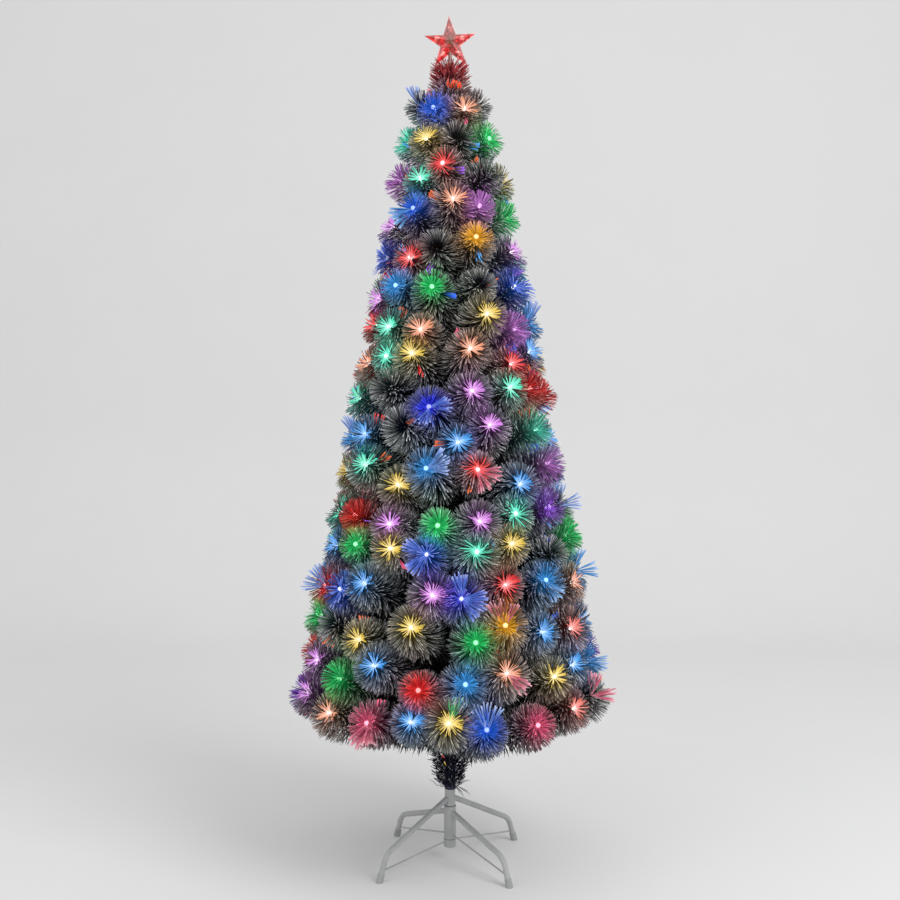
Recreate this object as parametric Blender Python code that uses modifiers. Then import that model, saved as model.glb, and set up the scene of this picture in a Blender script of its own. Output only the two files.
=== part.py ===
# Fiber optic Christmas tree: a slim pole tree on a folding four-legged stand, with a lit brush
# of flocked needles at every branch tip and a clear star on top.
# Metres, +Z up. The floor is at z = 0, the pole stands on the Z axis and the front faces -Y.

import math

import bmesh
import bpy
from mathutils import Matrix, Vector

TREE_NAME = "fiber_optic_christmas_tree"

# Clearance between pieces that touch, and how far each cutter runs past what it cuts
GAP = 0.0003
OVERRUN = 0.004
FLOOR_BLOCK = 0.6

# Facets round the turned pieces
TUBE_SIDES = 16
RING_SIDES = 10
ROD_SIDES = 8
PIN_SIDES = 6
NUT_SIDES = 6
LEG_RESOLUTION = 3
STRUT_RESOLUTION = 2
ROUND_ANGLE = math.radians(35)

# Pole: three steel tubes, each upper one with a spigot that enters the one below
POLE_OD = 0.019
POLE_WALL = 0.001
SPIGOT_LENGTH = 0.060
SPIGOT_TAPER = 0.004
POLE_HEAD = 0.020
SECTION_TIERS = (6, 6, 5)

# Stand tube, which the pole drops into
POLE_PLAY = 0.0005
TUBE_WALL = 0.0012
TUBE_BOTTOM = 0.031
TUBE_LENGTH = 0.131
LIP_THICKNESS = 0.0025
LIP_HOLE_RADIUS = 0.006

# Bottom collar and turning sleeve round the stand tube
COLLAR_HEIGHT = 0.0165
COLLAR_WALL = 0.0017
SLEEVE_HEIGHT = 0.070
SLEEVE_WALL = 0.0014

# Legs: straight run from the hub, one bend, then a short run down to the foot
LEG_OD = 0.012
LEG_WALL = 0.001
FOOT_RADIUS = 0.187
FOOT_RUN_IN = 0.018
BEND_CORNER_HEIGHT = 0.053
BEND_RADIUS = 0.034
BEND_STEPS = 5
FIXED_HUB_HEIGHT = 0.1375
TURNING_HUB_HEIGHT = 0.107
FIXED_AZIMUTH = math.radians(39.8)

# Foot caps
CAP_WALL = 0.0009
CAP_HEIGHT = 0.017
CAP_FLOOR = 0.005

# Struts from each leg back to the hub
STRUT_DIAMETER = 0.0035
STRUT_LEG_HEIGHT = 0.0215
STRUT_COLLAR_SHARE = 0.74
STRUT_SLEEVE_RISE = 0.008

# Clamp screw with its nut, at the back of the stand tube
SCREW_DIAMETER = 0.005
SCREW_DROP = 0.024
SCREW_NECK = 0.006
NUT_RADIUS = 0.0046
NUT_THICKNESS = 0.005
EYE_RADIUS = 0.0065
EYE_WIRE = 0.0034

# Power inlet in the foot of the pole, harness runs and section connectors
INLET_LENGTH = 0.014
PIN_DIAMETER = 0.0016
PIN_LENGTH = 0.0022
PIN_PITCH = 0.0052
HARNESS_DIAMETER = 0.005
CONNECTOR_LENGTH = 0.014
CONTACT_DIAMETER = 0.0034
CONTACT_LENGTH = 0.008
CONTACT_PLAY = 0.0004
CONTACT_SPARE = 0.001

# Branch tiers: heights of the lit tips, and the cone with a rounded crown that they lie on
TIER_COUNT = 17
TIER_PITCH = 0.0765
LOWEST_TIP_HEIGHT = 0.372
LOWEST_TIP_RADIUS = 0.304
TAPER_SHARE = 0.77
CROWN_POWER = 28
TIP_SPACING = 0.097
FEWEST_TIPS = 6
BRANCH_RISE = math.radians(16)
LOW_TILT = math.radians(22)
CROWN_TILT = math.radians(58)
TILT_POWER = 6
TIER_TURN_SHARE = 0.38

# Collar of a tier, which clamps its branch wires round the pole
TIER_COLLAR_WALL = 0.0035
TIER_COLLAR_HEIGHT = 0.014
BRANCH_ROOT_SHARE = 0.5

# Brush of needles at a branch tip: a starburst bell on the wire, with its lamp in the middle
WIRE_RADIUS = 0.0019
WIRE_SIDES = 3
BRUSH_LOBES = 6
BRUSH_LAP = 0.0018
BRUSH_VALLEY_SHARE = 0.55
BRUSH_DEPTH = 0.075
BRUSH_DEPTH_SHARE = 0.45
BRUSH_BACK_RADIUS = 0.015
BRUSH_CUP = 0.011
CROWN_BRUSH_SHARE = 0.86
LAMP_RADIUS = 0.0030
LAMP_LENGTH = 0.009
LAMP_SEAT = 0.004
ROLL_STEP = math.radians(137.5)

# Bare glowing strands that stand out of each lamp
STRAND_LENGTH = 0.030
STRAND_TIP_SHARE = 0.20
SIDE_STRAND_LEAN = math.radians(52)

# Trunk garland between the stand and the first tier
GARLAND_SKIRT = 0.010
GARLAND_FOOT_RADIUS = 0.021
GARLAND_TOP_RADIUS = 0.052
GARLAND_VALLEY_SHARE = 0.66
GARLAND_COLUMNS = 16
GARLAND_ROWS = 8
GARLAND_CLEARANCE = 0.0015
STRAY_COUNT = 8
STRAY_LENGTH = 0.030
STRAY_RADIUS = 0.0014
STRAY_LEAN = math.radians(64)

# Leader in the top of the pole
LEADER_PLUG_LENGTH = 0.030
LEADER_WIRE_RADIUS = 0.0020
LEADER_BRUSH_START = 0.0857
LEADER_BRUSH_PITCH = 0.0215
LEADER_BRUSH_RADIUS = 0.042
LEADER_BRUSH_DEPTH = 0.026
LEADER_BRUSH_SHARES = (1, 0.84, 0.6)
LEADER_WIRE_LENGTH = 0.1619

# Star: two faceted shells round a small board with a lamp for each point
STAR_RADIUS = 0.0575
STAR_VALLEY_SHARE = 0.39
STAR_HALF_DEPTH = 0.014
STAR_WALL = 0.002
STAR_POINTS = 5
SOCKET_OD = 0.0078
SOCKET_ENGAGEMENT = 0.029
BOARD_RADIUS = 0.009
BOARD_THICKNESS = 0.0016
STAR_LAMP_RADIUS = 0.0022
STAR_LAMP_LENGTH = 0.011
STAR_LAMP_SEAT = 0.002

# Sizes that follow from the ones above
POLE_RADIUS = POLE_OD / 2
POLE_BORE = POLE_RADIUS - POLE_WALL
SPIGOT_RADIUS = POLE_BORE - GAP
SPIGOT_BORE = SPIGOT_RADIUS - POLE_WALL
TUBE_BORE = POLE_RADIUS + POLE_PLAY
TUBE_RADIUS = TUBE_BORE + TUBE_WALL
TUBE_TOP = TUBE_BOTTOM + TUBE_LENGTH
POLE_BOTTOM = TUBE_BOTTOM + LIP_THICKNESS + GAP
COLLAR_BORE = TUBE_RADIUS + GAP
COLLAR_RADIUS = COLLAR_BORE + COLLAR_WALL
SLEEVE_RADIUS = COLLAR_BORE + SLEEVE_WALL
SLEEVE_BOTTOM = TUBE_BOTTOM + COLLAR_HEIGHT + GAP
BEND_CORNER_RADIUS = FOOT_RADIUS - FOOT_RUN_IN
LEG_RADIUS = LEG_OD / 2
STRUT_RADIUS = STRUT_DIAMETER / 2
SCREW_RADIUS = SCREW_DIAMETER / 2
SCREW_HEIGHT = TUBE_TOP - SCREW_DROP
HARNESS_RADIUS = HARNESS_DIAMETER / 2
CONTACT_RADIUS = CONTACT_DIAMETER / 2
PIN_RADIUS = PIN_DIAMETER / 2
CROWN_SPAN = TIER_COUNT * TIER_PITCH
BRUSH_RADIUS = TIER_PITCH / 2 + BRUSH_LAP
GARLAND_BOTTOM = TUBE_TOP - GARLAND_SKIRT

# Colours: linear red, green and blue
STEEL_GREY = (0.34, 0.34, 0.35)
CAP_GREY = (0.31, 0.31, 0.32)
POLE_GREEN = (0.02, 0.05, 0.03)
NEEDLE_GREEN = (0.05, 0.10, 0.09)
GARLAND_GREEN = (0.03, 0.06, 0.06)
STAR_RED = (0.75, 0.06, 0.06)
BOARD_GREEN = (0.05, 0.16, 0.07)
PLASTIC_BLACK = (0.03, 0.03, 0.03)
PLASTIC_WHITE = (0.70, 0.70, 0.68)
ZINC = (0.55, 0.56, 0.58)


def clear_scene():
    for found in list(bpy.data.objects):
        bpy.data.objects.remove(found, do_unlink=True)


def new_collection(name):
    made = bpy.data.collections.new(name)
    bpy.context.scene.collection.children.link(made)
    return made


def new_material(name, colour, roughness, metallic=0.0, transmission=0.0):
    made = bpy.data.materials.new(name)
    made.use_nodes = True
    shader = made.node_tree.nodes["Principled BSDF"]
    shader.inputs["Base Color"].default_value = (*colour, 1.0)
    shader.inputs["Roughness"].default_value = roughness
    shader.inputs["Metallic"].default_value = metallic
    shader.inputs["Transmission Weight"].default_value = transmission
    made.diffuse_color = (*colour, 1.0)
    return made


def new_body(name, location=(0, 0, 0)):
    # An empty on the joint's axis, which carries the pieces that move together
    empty = bpy.data.objects.new(name, None)
    parts.objects.link(empty)
    empty.location = location
    return empty


def add_piece(name, data, material, body=None, matrix=None):
    piece = bpy.data.objects.new(name, data)
    parts.objects.link(piece)
    if material:
        data.materials.append(material)
    if matrix:
        piece.matrix_world = matrix
    if body:
        piece.parent = body
        piece.matrix_parent_inverse = Matrix.Translation(body.location).inverted()
    return piece


def add_cutter(name, mesh, matrix=None):
    cutter = bpy.data.objects.new(name, mesh)
    cutters.objects.link(cutter)
    cutter.hide_render = True
    cutter.display_type = "WIRE"
    if matrix:
        cutter.matrix_world = matrix
    return cutter


def mesh_of(name, bm):
    bmesh.ops.recalc_face_normals(bm, faces=bm.faces)
    mesh = bpy.data.meshes.new(name)
    bm.to_mesh(mesh)
    bm.free()
    return mesh


def shade_round(mesh):
    mesh.shade_smooth()
    mesh.set_sharp_from_angle(angle=ROUND_ANGLE)


def boolean(piece, other, operation, with_self=False):
    modifier = piece.modifiers.new(operation.lower(), "BOOLEAN")
    modifier.operation = operation
    modifier.object = other
    modifier.solver = "EXACT"
    modifier.use_self = with_self


def profile_mesh(name, profile, closed):
    mesh = bpy.data.meshes.new(name)
    count = len(profile)
    edges = [(i, i + 1) for i in range(count - 1)]
    if closed:
        edges.append((count - 1, 0))
    mesh.from_pydata([(radius, 0, height) for radius, height in profile], edges, [])
    return mesh


def turned(name, profile, material, body=None, matrix=None, sides=TUBE_SIDES):
    # The profile runs down the outer side first. One that starts and ends on the axis is solid
    closed = profile[0][0] > 0
    piece = add_piece(name, profile_mesh(name, profile, closed), material, body, matrix)
    screw = piece.modifiers.new("turn", "SCREW")
    screw.axis = "Z"
    screw.angle = math.tau
    screw.steps = sides
    screw.render_steps = sides
    screw.use_merge_vertices = True
    screw.merge_threshold = GAP / TUBE_SIDES
    screw.use_smooth_shade = True
    return piece


def ring_profile(outer, inner, bottom, top):
    return [(outer, top), (outer, bottom), (inner, bottom), (inner, top)]


def rod_profile(radius, bottom, top):
    return [(0, top), (radius, top), (radius, bottom), (0, bottom)]


def bore_for(radius, sides=RING_SIDES):
    # Radius of a faceted bore whose flats clear a round of this radius
    return (radius + GAP) / math.cos(math.pi / sides)


def cylinder_mesh(name, radius, bottom, top, sides=TUBE_SIDES):
    bm = bmesh.new()
    middle = Matrix.Translation((0, 0, (bottom + top) / 2))
    bmesh.ops.create_cone(
        bm, cap_ends=True, segments=sides, radius1=radius, radius2=radius,
        depth=top - bottom, matrix=middle,
    )
    return mesh_of(name, bm)


def wire_curve(name, points, radius, resolution, caps):
    curve = bpy.data.curves.new(name, "CURVE")
    curve.dimensions = "3D"
    curve.bevel_depth = radius
    curve.bevel_resolution = resolution
    curve.use_fill_caps = caps
    spline = curve.splines.new("POLY")
    spline.points.add(len(points) - 1)
    for point, place in zip(spline.points, points):
        point.co = (*place, 1)
    return curve


def mesh_from_curve(name, curve):
    guide = bpy.data.objects.new(name, curve)
    cutters.objects.link(guide)
    graph = bpy.context.evaluated_depsgraph_get()
    mesh = bpy.data.meshes.new_from_object(guide.evaluated_get(graph))
    bpy.data.objects.remove(guide, do_unlink=True)
    bm = bmesh.new()
    bm.from_mesh(mesh)
    bmesh.ops.remove_doubles(bm, verts=bm.verts, dist=GAP / TUBE_SIDES)
    bmesh.ops.recalc_face_normals(bm, faces=bm.faces)
    bm.to_mesh(mesh)
    bm.free()
    mesh.name = name
    return mesh


def around(azimuth, radius, height):
    return Vector((radius * math.cos(azimuth), radius * math.sin(azimuth), height))


# Stand


def make_stand_tube():
    tube = turned(
        "stand_tube",
        [
            (TUBE_RADIUS, TUBE_TOP),
            (TUBE_RADIUS, TUBE_BOTTOM),
            (LIP_HOLE_RADIUS, TUBE_BOTTOM),
            (LIP_HOLE_RADIUS, TUBE_BOTTOM + LIP_THICKNESS),
            (TUBE_BORE, TUBE_BOTTOM + LIP_THICKNESS),
            (TUBE_BORE, TUBE_TOP),
        ],
        steel,
    )
    boolean(tube, screw_hole, "DIFFERENCE")
    turned(
        "bottom_collar",
        ring_profile(COLLAR_RADIUS, COLLAR_BORE, TUBE_BOTTOM, TUBE_BOTTOM + COLLAR_HEIGHT),
        steel,
    )
    turned(
        "turning_sleeve",
        ring_profile(SLEEVE_RADIUS, COLLAR_BORE, SLEEVE_BOTTOM, SLEEVE_BOTTOM + SLEEVE_HEIGHT),
        steel,
        turning_legs,
    )


def leg_run(hub_height):
    # Centre line of a leg as (radius, height): hub, bend and the end inside the foot cap
    hub = Vector((0, hub_height))
    corner = Vector((BEND_CORNER_RADIUS, BEND_CORNER_HEIGHT))
    foot = Vector((FOOT_RADIUS, 0))
    inward = (hub - corner).normalized()
    downward = (foot - corner).normalized()
    half_angle = inward.angle(downward) / 2
    reach = BEND_RADIUS / math.tan(half_angle)
    centre = corner + (inward + downward).normalized() * BEND_RADIUS / math.sin(half_angle)
    start = corner + inward * reach - centre
    turn = start.angle_signed(corner + downward * reach - centre)
    run = [hub]
    for step in range(BEND_STEPS + 1):
        run.append(centre + Matrix.Rotation(-turn * step / BEND_STEPS, 2) @ start)
    run.append(foot - downward * CAP_FLOOR)
    return run


def lower_run_direction():
    # Unit vector up the leg's lower run, as (radius, height)
    rise = Vector((BEND_CORNER_RADIUS - FOOT_RADIUS, BEND_CORNER_HEIGHT))
    return rise.normalized()


def make_leg(where, azimuth, hub_height, hub_cutter, body):
    run = [around(azimuth, radius, height) for radius, height in leg_run(hub_height)]
    curve = wire_curve("leg_guide_" + where, run, LEG_RADIUS, LEG_RESOLUTION, False)
    mesh = mesh_from_curve("leg_" + where, curve)
    shade_round(mesh)
    leg = add_piece("leg_" + where, mesh, steel, body)
    wall = leg.modifiers.new("wall", "SOLIDIFY")
    wall.thickness = LEG_WALL
    wall.offset = -1
    boolean(leg, hub_cutter, "DIFFERENCE")


def make_foot(where, azimuth, floor_cutter, body):
    # A cap on the slanting leg end, cut flat on the floor
    up = lower_run_direction()
    axis = Vector((up.x * math.cos(azimuth), up.x * math.sin(azimuth), up.y))
    spin = Vector((0, 0, 1)).rotation_difference(axis).to_matrix().to_4x4()
    bore = LEG_RADIUS + GAP
    outer = bore + CAP_WALL
    foot = turned(
        "foot_" + where,
        [
            (0, CAP_FLOOR - GAP),
            (bore, CAP_FLOOR - GAP),
            (bore, CAP_HEIGHT),
            (outer, CAP_HEIGHT),
            (outer, -outer),
            (0, -outer),
        ],
        cap_plastic,
        body,
        Matrix.Translation(around(azimuth, FOOT_RADIUS, 0)) @ spin,
        RING_SIDES,
    )
    boolean(foot, floor_cutter, "DIFFERENCE")


def make_strut(where, azimuth, hub_radius, hub_height, body):
    # A straight rod, set back at both ends by what its square ends need to clear
    up = lower_run_direction()
    on_leg = Vector((FOOT_RADIUS, 0)) + up * (STRUT_LEG_HEIGHT / up.y)
    on_hub = Vector((hub_radius, hub_height))
    along = (on_hub - on_leg).normalized()
    lean = abs(along.angle(up))
    off_leg = (LEG_RADIUS + GAP) / math.sin(lean) + STRUT_RADIUS / math.tan(lean)
    off_hub = GAP + STRUT_RADIUS * abs(along.y)
    ends = [on_leg + along * off_leg, on_hub - along * off_hub]
    run = [around(azimuth, radius, height) for radius, height in ends]
    rod = wire_curve("strut_" + where, run, STRUT_RADIUS, STRUT_RESOLUTION, True)
    add_piece("strut_" + where, rod, steel, body)


def make_legs():
    reach = FOOT_RADIUS
    fixed_hub = add_cutter(
        "fixed_hub", cylinder_mesh("fixed_hub", TUBE_RADIUS + GAP, -reach, reach)
    )
    turning_hub = add_cutter(
        "turning_hub", cylinder_mesh("turning_hub", SLEEVE_RADIUS + GAP, -reach, reach)
    )
    bm = bmesh.new()
    below_floor = Matrix.Translation((0, 0, -FLOOR_BLOCK / 2))
    bmesh.ops.create_cube(bm, size=FLOOR_BLOCK, matrix=below_floor)
    floor_cutter = add_cutter("floor", mesh_of("floor", bm))
    strut_on_collar = TUBE_BOTTOM + COLLAR_HEIGHT * STRUT_COLLAR_SHARE
    strut_on_sleeve = SLEEVE_BOTTOM + STRUT_SLEEVE_RISE
    fixed = (FIXED_HUB_HEIGHT, fixed_hub, COLLAR_RADIUS, strut_on_collar, None)
    turning = (TURNING_HUB_HEIGHT, turning_hub, SLEEVE_RADIUS, strut_on_sleeve, turning_legs)
    legs = (
        ("back_right", 0, fixed),
        ("back_left", 1, turning),
        ("front_left", 2, fixed),
        ("front_right", 3, turning),
    )
    for where, quarter, (hub_height, hub_cutter, hub_radius, strut_height, body) in legs:
        azimuth = FIXED_AZIMUTH + quarter * math.pi / 2
        make_leg(where, azimuth, hub_height, hub_cutter, body)
        make_strut(where, azimuth, hub_radius, strut_height, body)
        make_foot(where, azimuth, floor_cutter, body)


def make_clamp():
    facing_back = Matrix.Translation((0, 0, SCREW_HEIGHT)) @ Matrix.Rotation(-math.pi / 2, 4, "X")
    nut_face = TUBE_RADIUS + NUT_THICKNESS
    nut = add_piece(
        "clamp_nut",
        cylinder_mesh("clamp_nut", NUT_RADIUS, TUBE_BORE, nut_face, NUT_SIDES),
        zinc,
        None,
        facing_back,
    )
    tube_wall = add_cutter(
        "tube_wall", cylinder_mesh("tube_wall", TUBE_RADIUS + GAP, 0, TUBE_TOP + TUBE_LENGTH)
    )
    boolean(nut, tube_wall, "DIFFERENCE")
    boolean(nut, screw_hole, "DIFFERENCE")
    tip = POLE_RADIUS + GAP
    eye_centre = nut_face + SCREW_NECK + EYE_RADIUS
    bm = bmesh.new()
    bmesh.ops.create_cone(
        bm, cap_ends=True, segments=ROD_SIDES, radius1=SCREW_RADIUS, radius2=SCREW_RADIUS,
        depth=eye_centre - EYE_RADIUS - tip,
        matrix=Matrix.Translation((0, 0, (eye_centre - EYE_RADIUS + tip) / 2)),
    )
    screw = add_piece("clamp_screw", mesh_of("clamp_screw", bm), zinc, clamp, facing_back)
    shade_round(screw.data)
    eye = bpy.data.objects.new("eye", torus_mesh("eye", EYE_RADIUS, EYE_WIRE / 2))
    cutters.objects.link(eye)
    eye.hide_render = True
    eye.display_type = "WIRE"
    eye.matrix_world = (
        facing_back @ Matrix.Translation((0, 0, eye_centre)) @ Matrix.Rotation(math.pi / 2, 4, "Y")
    )
    boolean(screw, eye, "UNION")


def torus_mesh(name, radius, wire):
    # A small circle spun round the Z axis
    bm = bmesh.new()
    turn = Matrix.Translation((radius, 0, 0)) @ Matrix.Rotation(math.pi / 2, 4, "X")
    circle = bmesh.ops.create_circle(bm, segments=PIN_SIDES, radius=wire, matrix=turn)
    edges = list({edge for vert in circle["verts"] for edge in vert.link_edges})
    bmesh.ops.spin(
        bm, geom=circle["verts"] + edges, cent=(0, 0, 0), axis=(0, 0, 1),
        angle=math.tau, steps=RING_SIDES, use_merge=True,
    )
    return mesh_of(name, bm)


# Pole and wiring


def collar_height(tier):
    # Middle of the tier's collar: the branch wires rise from it to their brushes
    height, radius, crown = tier_shape(tier)
    tilt, _, depth = brush_shape(radius, crown)
    rise = BRANCH_RISE + tilt - LOW_TILT
    wire_reach = radius - depth * math.cos(tilt) - POLE_RADIUS
    return height - depth * math.sin(tilt) - wire_reach * math.tan(rise)


def joint_height(tier):
    # The pole parts half-way between this tier's collar and the next one's
    return (collar_height(tier) + collar_height(tier + 1)) / 2


def upper_pole_profile(bottom, top):
    return [
        (POLE_RADIUS, top),
        (POLE_RADIUS, bottom),
        (SPIGOT_RADIUS, bottom),
        (SPIGOT_RADIUS, bottom - SPIGOT_LENGTH),
        (SPIGOT_BORE, bottom - SPIGOT_LENGTH),
        (SPIGOT_BORE, bottom),
        (POLE_BORE, bottom + SPIGOT_TAPER),
        (POLE_BORE, top),
    ]


def make_poles():
    first = joint_height(SECTION_TIERS[0] - 1)
    second = joint_height(SECTION_TIERS[0] + SECTION_TIERS[1] - 1)
    head = collar_height(TIER_COUNT - 1) + POLE_HEAD
    turned(
        "pole_lower", ring_profile(POLE_RADIUS, POLE_BORE, POLE_BOTTOM, first), pole_paint, lower
    )
    turned("pole_middle", upper_pole_profile(first + GAP, second), pole_paint, middle)
    turned("pole_top", upper_pole_profile(second + GAP, head), pole_paint, top)
    make_inlet()
    make_connectors("middle", first, lower, middle)
    make_connectors("top", second, middle, top)
    # Each harness run ends a gap short of the connectors above and below it
    starts = (
        POLE_BOTTOM + INLET_LENGTH,
        spigot_foot(first) + CONNECTOR_LENGTH,
        spigot_foot(second) + CONNECTOR_LENGTH,
    )
    ends = (
        spigot_foot(first) - GAP - CONNECTOR_LENGTH,
        spigot_foot(second) - GAP - CONNECTOR_LENGTH,
        head - LEADER_PLUG_LENGTH,
    )
    for name, start, end, body in zip(("middle", "top", "leader"), starts, ends, (lower, middle, top)):
        make_harness(name, start + GAP, end - GAP, body)


def make_inlet():
    bm = bmesh.new()
    bmesh.ops.create_cone(
        bm, cap_ends=True, segments=ROD_SIDES, radius1=POLE_BORE - GAP, radius2=POLE_BORE - GAP,
        depth=INLET_LENGTH, matrix=Matrix.Translation((0, 0, POLE_BOTTOM + INLET_LENGTH / 2)),
    )
    inlet = add_piece("power_inlet", mesh_of("power_inlet", bm), black_plastic, lower)
    bm = bmesh.new()
    for side in (-1, 1):
        bmesh.ops.create_cone(
            bm, cap_ends=True, segments=PIN_SIDES, radius1=PIN_RADIUS, radius2=PIN_RADIUS,
            depth=PIN_LENGTH * 2,
            matrix=Matrix.Translation((side * PIN_PITCH / 2, 0, POLE_BOTTOM)),
        )
    pins = add_cutter("inlet_pins", mesh_of("inlet_pins", bm))
    boolean(inlet, pins, "UNION")


def spigot_foot(joint):
    # Lower end of the spigot that enters the pole below this joint
    return joint + GAP - SPIGOT_LENGTH


def make_connectors(name, joint, body, upper):
    # A plug in the spigot's foot, whose contact enters a socket in the pole below
    plug_foot = spigot_foot(joint)
    socket_top = plug_foot - GAP
    bore = CONTACT_RADIUS + CONTACT_PLAY
    bore_foot = socket_top - CONTACT_LENGTH - CONTACT_SPARE
    turned(
        "socket_below_" + name,
        [
            (0, bore_foot),
            (bore, bore_foot),
            (bore, socket_top),
            (POLE_BORE - GAP, socket_top),
            (POLE_BORE - GAP, socket_top - CONNECTOR_LENGTH),
            (0, socket_top - CONNECTOR_LENGTH),
        ],
        white_plastic,
        body,
        None,
        ROD_SIDES,
    )
    turned(
        "plug_in_" + name,
        [
            (0, plug_foot + CONNECTOR_LENGTH),
            (SPIGOT_BORE - GAP, plug_foot + CONNECTOR_LENGTH),
            (SPIGOT_BORE - GAP, plug_foot),
            (CONTACT_RADIUS, plug_foot),
            (CONTACT_RADIUS, plug_foot - CONTACT_LENGTH),
            (0, plug_foot - CONTACT_LENGTH),
        ],
        white_plastic,
        upper,
        None,
        ROD_SIDES,
    )


def make_harness(name, bottom, top, body):
    turned(
        "harness_to_" + name,
        rod_profile(HARNESS_RADIUS, bottom, top),
        black_plastic,
        body,
        None,
        ROD_SIDES,
    )


# Foliage


def tier_shape(tier):
    # (height, radius, crown share) of a tier's lit tips, on a cone with a rounded crown
    climb = tier * TIER_PITCH
    crown = climb / CROWN_SPAN
    radius = LOWEST_TIP_RADIUS * (1 - TAPER_SHARE * crown) * (1 - crown**CROWN_POWER)
    return LOWEST_TIP_HEIGHT + climb, radius, crown


def brush_shape(tip_radius, crown):
    # (tilt, size share, depth) of a tier's brushes: towards the crown they point up and shrink
    share = crown**TILT_POWER
    size = 1 - (1 - CROWN_BRUSH_SHARE) * share
    tilt = LOW_TILT + (CROWN_TILT - LOW_TILT) * share
    depth = min(BRUSH_DEPTH * size, BRUSH_DEPTH_SHARE * tip_radius / math.cos(tilt))
    return tilt, size, depth


def tip_count(radius):
    return max(FEWEST_TIPS, round(math.tau * radius / TIP_SPACING))


def ring_of(bm, centre, axes, radii, lift=0, turn=0):
    # Points round an axis. The radii repeat, and the first of each set is lifted along the axis
    side, across, along = axes
    count = len(radii)
    ring = []
    for index, radius in enumerate(radii):
        angle = turn + math.tau * index / count
        place = centre + side * (radius * math.cos(angle)) + across * (radius * math.sin(angle))
        if index % 2 == 0:
            place = place + along * lift
        ring.append(bm.verts.new(place))
    return ring


def skin(bm, few, many):
    # Faces between a ring and one with as many points or a multiple of them
    share = len(many) // len(few)
    half = share // 2
    for index, point in enumerate(few):
        following = few[(index + 1) % len(few)]
        fan = [many[(index * share + step - half) % len(many)] for step in range(share + 1)]
        if share == 1:
            bm.faces.new((point, following, fan[1], fan[0]))
            continue
        for first, second in zip(fan, fan[1:]):
            bm.faces.new((point, second, first))
        bm.faces.new((point, following, fan[-1]))


def axes_along(direction, roll=0):
    side = direction.orthogonal().normalized()
    side = Matrix.Rotation(roll, 3, direction) @ side
    return side, direction.cross(side), direction


def grow_strand(bm, face, direction, length):
    # A thin strand drawn out of a face, narrowing to its end
    grown = bmesh.ops.extrude_discrete_faces(bm, faces=[face])["faces"][0]
    centre = grown.calc_center_median()
    for vert in grown.verts:
        vert.co = centre + direction * length + (vert.co - centre) * STRAND_TIP_SHARE


def brush_rings(bm, centre, axes, radius, depth, back_radius):
    # Back end and star rim of a brush's bell: the points of the rim cup forwards
    back = ring_of(bm, centre - axes[2] * depth, axes, [back_radius] * WIRE_SIDES)
    valley = radius * BRUSH_VALLEY_SHARE
    rim = ring_of(bm, centre, axes, [radius, valley] * BRUSH_LOBES, BRUSH_CUP)
    skin(bm, back, rim)
    return back, rim


def add_branch(bm, root, tip, direction, size, depth, roll, second_strand):
    # One branch in one closed loft: wire, bell, lamp, and strands drawn from the lamp
    axes = axes_along(direction, roll)
    back_radius = BRUSH_BACK_RADIUS * size
    back, rim = brush_rings(bm, tip, axes, BRUSH_RADIUS * size, depth, back_radius)
    foot = ring_of(bm, root, axes, [WIRE_RADIUS] * WIRE_SIDES)
    skin(bm, foot, back)
    bm.faces.new(reversed(foot))
    seat = ring_of(bm, tip - direction * LAMP_SEAT, axes, [LAMP_RADIUS] * WIRE_SIDES)
    skin(bm, seat, rim)
    end = ring_of(bm, tip + direction * (LAMP_LENGTH - LAMP_SEAT), axes, [LAMP_RADIUS] * WIRE_SIDES)
    sides = []
    for index in range(WIRE_SIDES):
        following = (index + 1) % WIRE_SIDES
        sides.append(bm.faces.new((seat[index], seat[following], end[following], end[index])))
    nose = bm.faces.new(end)
    grow_strand(bm, nose, direction, STRAND_LENGTH)
    if not second_strand:
        return
    outward = sides[0].calc_center_median() - tip
    outward = (outward - direction * outward.dot(direction)).normalized()
    lean = direction * math.cos(SIDE_STRAND_LEAN) + outward * math.sin(SIDE_STRAND_LEAN)
    grow_strand(bm, sides[0], lean, STRAND_LENGTH)


def add_tier_branches(bm, tier):
    height, radius, crown = tier_shape(tier)
    count = tip_count(radius)
    tilt, size, depth = brush_shape(radius, crown)
    root_radius = bore_for(POLE_RADIUS) + TIER_COLLAR_WALL * BRANCH_ROOT_SHARE
    for index in range(count):
        azimuth = math.tau * (index + tier * TIER_TURN_SHARE) / count
        tip = around(azimuth, radius, height)
        direction = around(azimuth, math.cos(tilt), math.sin(tilt))
        root = around(azimuth, root_radius, collar_height(tier))
        roll = ROLL_STEP * (index + tier)
        add_branch(bm, root, tip, direction, size, depth, roll, (index + tier) % 2 == 0)


def make_tier(tier, body):
    middle_height = collar_height(tier)
    bore = bore_for(POLE_RADIUS)
    collar = turned(
        f"tier_{tier + 1:02d}",
        ring_profile(
            bore + TIER_COLLAR_WALL,
            bore,
            middle_height - TIER_COLLAR_HEIGHT / 2,
            middle_height + TIER_COLLAR_HEIGHT / 2,
        ),
        needles,
        body,
        None,
        RING_SIDES,
    )
    bm = bmesh.new()
    add_tier_branches(bm, tier)
    branches = add_cutter(f"branches_{tier + 1:02d}", mesh_of(f"branches_{tier + 1:02d}", bm))
    boolean(collar, branches, "UNION", True)


def make_tiers():
    bodies = [body for body, count in zip((lower, middle, top), SECTION_TIERS) for _ in range(count)]
    for tier, body in enumerate(bodies):
        make_tier(tier, body)


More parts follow.
